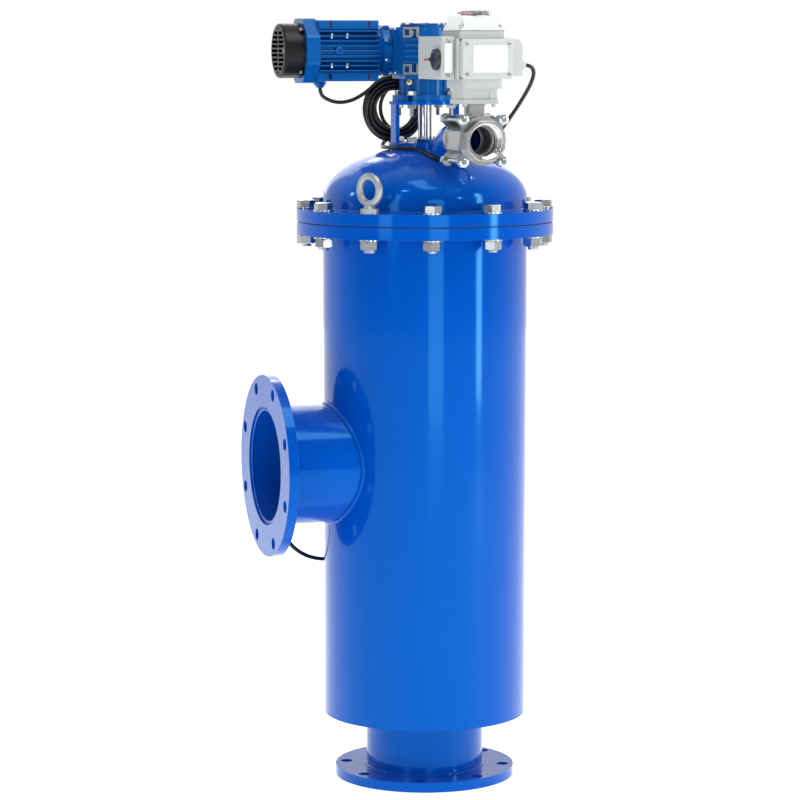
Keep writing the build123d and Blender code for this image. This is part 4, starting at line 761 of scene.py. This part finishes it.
def valveFasteners():
    bm = bmesh.new()
    joint = valveJoint
    for x in (-joint["half"], joint["half"]):
        for z in (-joint["half"], joint["half"]):
            face = stemY - joint["front"]
            spot = (stemX + x, heights["valve"] + z)
            washer(bm, at(spot[0], face, spot[1], (0, -1, 0)), 9.3, 5.1, 1.2)
            hexHead(bm, at(spot[0], face - 1.2, spot[1], (0, -1, 0), random.uniform(0, 1)), joint["flats"],
                    joint["head"] - 1.2)
            rear, length = stemY + joint["front"], 2 * joint["front"]
            lathe(bm, at(spot[0], face, spot[1], (0, 1, 0)),
                  [(0, 0), (joint["stud"], 0), (joint["stud"], length), (0, length)], 24)
            hexHead(bm, at(spot[0], rear, spot[1], (0, 1, 0), random.uniform(0, 1)), joint["flats"],
                    joint["head"], True)
            threadRod(bm, at(spot[0], rear, spot[1], (0, 1, 0)), joint["stud"], 6, joint["past"], 1.5)
    keep("valveFasteners", bm, "zincPlate", replaces=["valve_bolts"])


valveFasteners()

# two-inch pipe thread inside the drain mouth
mouthThread = {"radius": 29.45, "depth": 1.3, "pitch": 2.31, "start": 4.2, "length": 18}


def portThread():
    bm = bmesh.new()
    thread = mouthThread
    steps, perTurn = int(thread["length"] / thread["pitch"] * 40), 40
    rows = []
    for step in range(steps + 1):
        angle = turnFull * step / perTurn
        fade = min(1, step / 12, (steps - step) / 12)
        y = stemY - 65 + thread["start"] + thread["pitch"] * step / perTurn
        row = []
        for shift, inward in ((-0.46, 0), (-0.1, 1), (0.1, 1), (0.46, 0)):
            r = thread["radius"] - inward * thread["depth"] * fade + 0.05
            row.append(bm.verts.new(Vector((stemX + r * math.cos(angle), y + shift * thread["pitch"],
                                            heights["valve"] + r * math.sin(angle))) * mm))
        rows.append(row)
    for first, second in zip(rows, rows[1:]):
        for n in range(3):
            bm.faces.new((first[n], first[n + 1], second[n + 1], second[n]))
        bm.faces.new((first[3], first[0], second[0], second[3]))
    bm.faces.new(rows[0][::-1])
    bm.faces.new(rows[-1])
    bmesh.ops.recalc_face_normals(bm, faces=bm.faces)
    keep("drainMouthThread", bm, "turnedStainless", smooth=20)


portThread()
print("fasteners and threads cut")


# small screws with a hex socket, where the CAD has plain heads
def socketScrew(bm, where, radius, height):
    rim, hole, deep = radius * 0.14, radius * 0.5, height * 0.6
    full = hexReach(2 * hole)

    def shape(angle, r, z):
        if r <= hole + 0.001 and r > 0:
            return full(angle, r / hole, z)
        return r, z
    lathe(bm, where, [(radius, -0.4), (radius, height - rim), (radius - rim, height), (hole, height),
                      (hole * 0.999, height - deep), (0, height - deep)], 24, shape)


smallScrews = {"cover": (3.6, 2.0), "cap": (3.5, 3.5), "cowl": (3.2, 2.5), "lid": (3.2, 3.0),
               "base": (4.0, 5.0)}


def caseScrews():
    bm = bmesh.new()
    radius, height = smallScrews["cap"]
    for x, y in ringSpots(8, 40, 22.5):
        hexHead(bm, at(x, y, heights["capTop"], spin=random.uniform(0, 1)), 2 * radius, height)
    radius, height = smallScrews["cowl"]
    for y, z in ringSpots(4, 54, 45):
        socketScrew(bm, at(-236.5 + height, wormY + y, heights["worm"] + z, (-1, 0, 0)), radius, height)
    radius, height = smallScrews["cover"]
    front = caseFront - coverDepth
    for x in (-39, 39):
        for z in (-26.5, 26.5):
            socketScrew(bm, at(stemX + x, front, coverMiddle + z, (0, -1, 0)), radius, height)
    side = caseSide - 12 - 1
    for z in (7, 68):
        socketScrew(bm, at(side, stemY - 43, heights["neck"] - 1 + z, (0, -1, 0)), radius, height)
    radius, height = smallScrews["lid"]
    for x in (-37, 37):
        for y in (-35, 53):
            socketScrew(bm, at(stemX + x, stemY + y, heights["band"] + 7), radius, height)
    radius, height = smallScrews["base"]
    for x in (-27, 27):
        for y in (-27, 27):
            socketScrew(bm, at(stemX + x, stemY + y, heights["bracketTop"], (0, 0, -1)), radius, height)
    keep("caseScrews", bm, "zincPlate", replaces=["housing_screws"])


caseScrews()

# welds: a rippled bead along each joint of the vessel
beads = {"radius": 3.2, "ripple": 0.35, "step": 3.0}


def weldBead(name, path, radius, finish="vesselEnamel"):
    # path: closed loop of points in mm
    bm = bmesh.new()
    sides, rings = 10, []
    count = len(path)
    for index, spot in enumerate(path):
        spot = Vector(spot)
        along = (Vector(path[(index + 1) % count]) - Vector(path[index - 1])).normalized()
        across = along.cross(Vector((0.3, 0.2, 0.93))).normalized()
        up = across.cross(along)
        ripple = beads["ripple"]
        swell = radius + ripple * math.sin(index * 1.9) + ripple * 0.5 * math.sin(index * 0.37)
        ring = []
        for side in range(sides):
            angle = turnFull * side / sides
            ring.append(bm.verts.new((spot + (across * math.cos(angle) + up * math.sin(angle)) * swell) * mm))
        rings.append(ring)
    for first, second in zip(rings, rings[1:] + rings[:1]):
        for side in range(sides):
            after = (side + 1) % sides
            bm.faces.new((first[side], second[side], second[after], first[after]))
    bmesh.ops.recalc_face_normals(bm, faces=bm.faces)
    return keep(name, bm, finish, smooth=80)


def circlePath(radius, height, centre=(0, 0), around="z"):
    count = int(turnFull * radius / beads["step"])
    path = []
    for step in range(count):
        angle = turnFull * step / count
        a, b = radius * math.cos(angle), radius * math.sin(angle)
        flat = (centre[0] + a, centre[1] + b)
        path.append((*flat, height) if around == "z" else (height, *flat))
    return path


flangeBack, inletPlate, outletBore = 18, 120, 103.9
saddle, saddleSteps = [], 230
for step in range(saddleSteps):
    angle = turnFull * step / saddleSteps
    y, z = (pipeRadius + 0.6) * math.cos(angle), (pipeRadius + 0.6) * math.sin(angle)
    saddle.append((-math.sqrt(vesselRadius ** 2 - y ** 2) - 1, y, outletHeight + z))
weldBead("weldOutletSaddle", saddle, 4.6)
weldBead("weldOutletFlange", circlePath(pipeRadius + 0.5, outletFace + flangeBack, (0, outletHeight), "x"),
         beads["radius"])
weldBead("weldInletFlange", circlePath(pipeRadius + 0.5, flangeBack), beads["radius"])
weldBead("weldInletPlate", circlePath(pipeRadius + 0.5, inletPlate), beads["radius"])
weldBead("weldShellTop", circlePath(vesselRadius + 0.4, heights["shellTop"]), beads["radius"])
weldBead("weldDomeFoot", circlePath(vesselRadius + 0.4, heights["coverTop"]), beads["radius"])
weldBead("weldOutletBore", circlePath(outletBore, outletFace + 5, (0, outletHeight), "x"), 2.4)
print("welds laid")

# motor and gearbox trimmings
motorTrim = {"joint": -60, "bolts": 8, "earCircle": 46.2, "boltCircle": 46.6, "lugs": (-181, -152),
             "lugLevel": 27, "boss": (-166, 0), "notch": (-125, 46)}


def motorDetails():
    bm = bmesh.new()
    x = motorTrim["joint"]
    lathe(bm, at(x - 0.9, wormY, heights["worm"], (1, 0, 0)),
          [(38, 0), (44.5, 0), (44.5, 1.8), (38, 1.8), (38, 0)], 64)
    keep("motorJointGasket", bm, "gasketRubber")
    bm = bmesh.new()
    for y, z in ringSpots(motorTrim["bolts"], motorTrim["earCircle"], 22.5):
        boxAt(bm, (x - 6, wormY + y, heights["worm"] + z), (11, 7.4, 7.4), 1.4)
    keep("motorFlangeEars", bm, "driveEnamel")
    bm = bmesh.new()
    for y, z in ringSpots(motorTrim["bolts"], motorTrim["boltCircle"], 22.5):
        hexHead(bm, at(x - 11.4, wormY + y, heights["worm"] + z, (-1, 0, 0), random.uniform(0, 1)), 5.5, 3.4)
    keep("motorFlangeBolts", bm, "zincPlate")
    bm = bmesh.new()
    for x in motorTrim["lugs"]:
        for side in (-1, 1):
            boxAt(bm, (x, wormY - 55.6, heights["worm"] + side * motorTrim["lugLevel"]), (5, 3.4, 10), 1.0)
    keep("motorSideLugs", bm, "driveEnamel")
    bm = bmesh.new()
    for x in motorTrim["lugs"]:
        for side in (-1, 1):
            boxAt(bm, (x, wormY - 57.6, heights["worm"] + side * motorTrim["lugLevel"]), (3.4, 1.2, 9), 0.4)
    keep("motorLugClips", bm, "zincPlate")
    bm = bmesh.new()
    spotX, level = motorTrim["boss"]
    lathe(bm, at(spotX, wormY - 53.5, heights["worm"] + level, (0, -1, 0)),
          [(7, 0), (7, 2.0), (6.2, 2.6), (3.4, 2.6), (3.0, -2.0), (0, -2.0)], 28)
    keep("motorTappedBoss", bm, "driveEnamel")
    bm = bmesh.new()
    # a black disc down in the tapped hole: painted shade for the hole's dark inside
    lathe(bm, at(spotX, wormY - 53.5, heights["worm"] + level, (0, -1, 0)), [(3.0, 0.2), (0, 0.2)], 20)
    keep("motorHoleShadeDisc", bm, "gasketRubber")
    # corner screws in the body's notches
    bm = bmesh.new()
    x, level = motorTrim["notch"]
    for z in (-level, level):
        hexHead(bm, at(x, wormY - 38, heights["worm"] + z, (0, -1, 0)), 7, 6)
    keep("motorNotchScrews", bm, "zincPlate")


motorDetails()

plugs = {"brass": {"angle": 217, "height": 1299, "flats": 11, "long": 7}, "level": (28, -57, 1386),
         "footScrew": (-41, -47, 1388.5)}


def drivePlugs():
    bm = bmesh.new()
    plug = plugs["brass"]
    angle = math.radians(plug["angle"])
    out = Vector((math.cos(angle), math.sin(angle), 0))
    foot = out * 44.5
    hexHead(bm, at(foot.x, foot.y, plug["height"], out), plug["flats"], plug["long"])
    keep("greasePlug", bm, "plugBrass")
    bm = bmesh.new()
    x, y, z = plugs["footScrew"]
    hexHead(bm, at(x, y, z, (0, -1, 0), 0.3), 13, 5)
    keep("gearFootScrew", bm, "zincPlate")
    bm = bmesh.new()
    x, y, z = plugs["level"]
    socketScrew(bm, at(x, y, z, (0, -1, 0)), 5.2, 3.5)
    keep("levelPlug", bm, "gasketRubber")


drivePlugs()

# actuator: blank plate, side strip, setting mark and lid seams
actuatorTrim = {"plate": (62.6, 46.6, 1.0), "strip": (13.5, 51.0, 0.7), "mark": (2.2, 9.0),
                "pointer": ((15, 6.0), (22, 4.4), (30, 1.6))}


def knobDetails():
    # raised pointer and a moulded ring on the knob's face; both turn with the knob
    bm = bmesh.new()
    rows = []
    for reach, half in actuatorTrim["pointer"]:
        rows.append([bm.verts.new(Vector((knobX - deep, knobY + reach, knobZ + side * half)) * mm)
                     for deep, side in ((2.6, -1), (7.4, -0.8), (7.4, 0.8), (2.6, 1))])
    for first, second in zip(rows, rows[1:]):
        for n in range(4):
            bm.faces.new((first[n], first[(n + 1) % 4], second[(n + 1) % 4], second[n]))
    bm.faces.new(rows[0][::-1])
    bm.faces.new(rows[-1])
    bmesh.ops.recalc_face_normals(bm, faces=bm.faces)
    lathe(bm, at(knobX - 7.8, knobY, knobZ, (-1, 0, 0)),
          [(12.2, 0), (12.6, 1.0), (13.6, 1.5), (14.6, 1.0), (15.0, 0)], 48)
    keep("knobPointerAndRing", bm, "knobPlastic", body="knob")


def actuatorDetails():
    bm = bmesh.new()
    wide, tall, thick = actuatorTrim["plate"]
    boxAt(bm, (stemX + 4, caseFront - coverDepth - 0.6, coverMiddle), (wide, thick, tall), 0.4)
    keep("coverBlankPlate", bm, "plateWhite")
    bm = bmesh.new()
    wide, tall, thick = actuatorTrim["strip"]
    boxAt(bm, (stemX - 64, stemY - 43 - 3.2, heights["neck"] - 1 + 37.5), (wide, thick, tall), 0.3)
    keep("sideBlankStrip", bm, "plateWhite")
    # the knob's two end marks and the arc it sweeps, raised a little from the cover
    bm = bmesh.new()
    wide, long = actuatorTrim["mark"]
    boxAt(bm, (knobX - 0.2, knobY + 64, knobZ - 0.5), (0.8, long * 2.4, wide * 1.6), 0.2)
    keep("knobRestMark", bm, "indicatorRed")
    bm = bmesh.new()
    boxAt(bm, (knobX - 0.2, knobY, knobZ - 29), (0.8, wide, long * 0.6), 0.2)
    for step in range(10):
        angle = math.radians(-8 - step * 8)
        boxAt(bm, (knobX - 0.1, knobY + 27 * math.cos(angle), knobZ + 27 * math.sin(angle)), (0.5, 1.6, 1.6),
              0.15)
    keep("knobArcMarks", bm, "actuatorEnamel")
    # dark parting line under the lid band
    bm = bmesh.new()
    boxAt(bm, (stemX, stemY + 9, heights["band"] - 0.2), (84.4, 98.4, 0.9), 0.2)
    keep("lidSeam", bm, "gasketRubber")
    bm = bmesh.new()
    boxAt(bm, (stemX, caseFront - 0.1, coverMiddle), (94.6, 1.0, 69.4), 0.2)
    keep("frontSeam", bm, "gasketRubber")


actuatorDetails()
knobDetails()

# back: terminal lid and the pressure switch's dial
backTrim = {"lid": (76, 4), "lidSpot": (-158, 139.5, 1340.25), "lidScrews": 31, "dial": (19, 3),
            "dialHeight": 432}


def backDetails():
    bm = bmesh.new()
    size, thick = backTrim["lid"]
    lidX, lidY, lidZ = backTrim["lidSpot"]
    boxAt(bm, (lidX, lidY + thick / 2 - 0.4, lidZ), (size, thick, size), 1.6)
    keep("terminalLid", bm, "driveEnamel")
    bm = bmesh.new()
    apart = backTrim["lidScrews"]
    for x in (-apart, apart):
        for z in (-apart, apart):
            socketScrew(bm, at(lidX + x, lidY + thick - 0.4, lidZ + z, (0, 1, 0)), 3.4, 2.2)
    keep("terminalLidScrews", bm, "zincPlate")
    bm = bmesh.new()
    radius, deep = backTrim["dial"]
    dialZ = backTrim["dialHeight"]
    lathe(bm, at(0, 233, dialZ, (0, 1, 0)),
          [(radius, 0), (radius, deep), (radius - 1.2, deep + 0.6), (radius - 2.4, deep), (radius - 2.4, 1.4),
           (0, 1.4)], 48)
    keep("switchBezel", bm, "zincPlate")
    bm = bmesh.new()
    lathe(bm, at(0, 234.5, dialZ, (0, 1, 0)), [(radius - 2.6, 0), (0, 0)], 40)
    keep("switchDialFace", bm, "plateWhite")
    bm = bmesh.new()
    boxAt(bm, (0, 235.2, dialZ + 4), (1.2, 0.6, 15), 0.2)
    for step in range(9):
        angle = math.radians(-45 + step * 33.75)
        turn = Matrix.Rotation(-angle, 4, "Y")
        spot = Vector((14 * math.cos(angle), 0, 14 * math.sin(angle)))
        boxAt(bm, (spot.x, 234.8, dialZ + spot.z), (3.2, 0.4, 0.8), 0.1, turn)
    keep("switchNeedleAndTicks", bm, "gasketRubber")


backDetails()
print("trimmings done")

# studio: pale floor and soft light, with tall boxes for the long highlights
glints = [("glintLeft", (-1.87, -1.99, 3.35), (0.34, 0.16), 6),
          ("glintRight", (1.24, -3.28, 1.79), (0.22, 0.2), 5),
          ("glintTop", (1.82, -0.12, 4.25), (0.5, 0.1), 6), ("glintBack", (0.38, 2.97, 3.05), (0.7, 0.3), 8),
          ("glintSide", (-3.21, 1.12, 2.02), (0.2, 0.5), 6)]
studio = {"floor": (0.93, 0.94, 0.95), "floorGlow": 0.62, "front": 0.2, "behind": 0.85, "backdrop": 1.0,
          "boxes": [("keyLeft", (-3.4, -2.6, 1.9), (0.9, 2.4), 22),
                    ("stripRight", (2.9, -3.0, 1.5), (0.5, 2.6), 46),
                    ("topSoft", (0.2, -1.2, 3.6), (2.2, 1.6), 46),
                    ("frontFill", (-0.6, -5.6, 0.5), (1.6, 2.2), 36),
                    ("backWash", (0.6, 3.0, 2.2), (3.2, 2.4), 30)]}


def buildStudio():
    bm = bmesh.new()
    lathe(bm, Matrix.Identity(4), [(0, -0.2), (6000, -0.2), (9000, -0.2)], 64)
    mesh = bpy.data.meshes.new("studioFloor")
    bm.to_mesh(mesh)
    bm.free()
    floor = bpy.data.objects.new("studioFloor", mesh)
    collection.objects.link(floor)
    material, tree, shader = startMaterial("floorPaper")
    tone = use(tree, "tone", Color=(*studio["floor"], 1), Amount=0.01, Roughness=0.6)
    tree.links.new(tone.outputs["Color"], shader.inputs["Base Color"])
    tree.links.new(tone.outputs["Roughness"], shader.inputs["Roughness"])
    shader.inputs["Emission Color"].default_value = (1, 1, 1, 1)
    shader.inputs["Emission Strength"].default_value = studio["floorGlow"]
    mesh.materials.append(material)
    world = bpy.data.worlds.new("studioSky")
    scene.world = world
    world.use_nodes = True
    sky = world.node_tree.nodes["Background"]
    sky.inputs[0].default_value = (1, 1, 1, 1)
    # the backdrop shows white all round; as light it is bright behind the object and dim in front
    tree = world.node_tree
    toward = node(tree, "ShaderNodeVectorMath", {0: node(tree, "ShaderNodeTexCoord").outputs["Generated"]},
                  operation="DOT_PRODUCT")
    toward.inputs[1].default_value = (0.307, 0.9517, 0.15)
    given = node(tree, "ShaderNodeMapRange", {"Value": toward.outputs["Value"]}, From_Min=-0.35,
                 From_Max=0.45, To_Min=studio["front"], To_Max=studio["behind"])
    path = node(tree, "ShaderNodeLightPath")
    strength = node(tree, "ShaderNodeMix", {0: path.outputs["Is Camera Ray"], 2: given.outputs[0]},
                    data_type="FLOAT")
    strength.inputs[3].default_value = studio["backdrop"]
    tree.links.new(strength.outputs[0], sky.inputs[1])
    for name, spot, size, power in studio["boxes"] + glints:
        light = bpy.data.lights.new(name, "AREA")
        light.shape = "RECTANGLE"
        light.size, light.size_y = size
        light.energy = power
        lamp = bpy.data.objects.new(name, light)
        lamp.location = spot
        aim = Vector((0, 0, 0.75)) - Vector(spot)
        lamp.rotation_euler = aim.to_track_quat("-Z", "Y").to_euler()
        collection.objects.link(lamp)


buildStudio()
scene.view_settings.view_transform = "Standard"
print("studio lit")
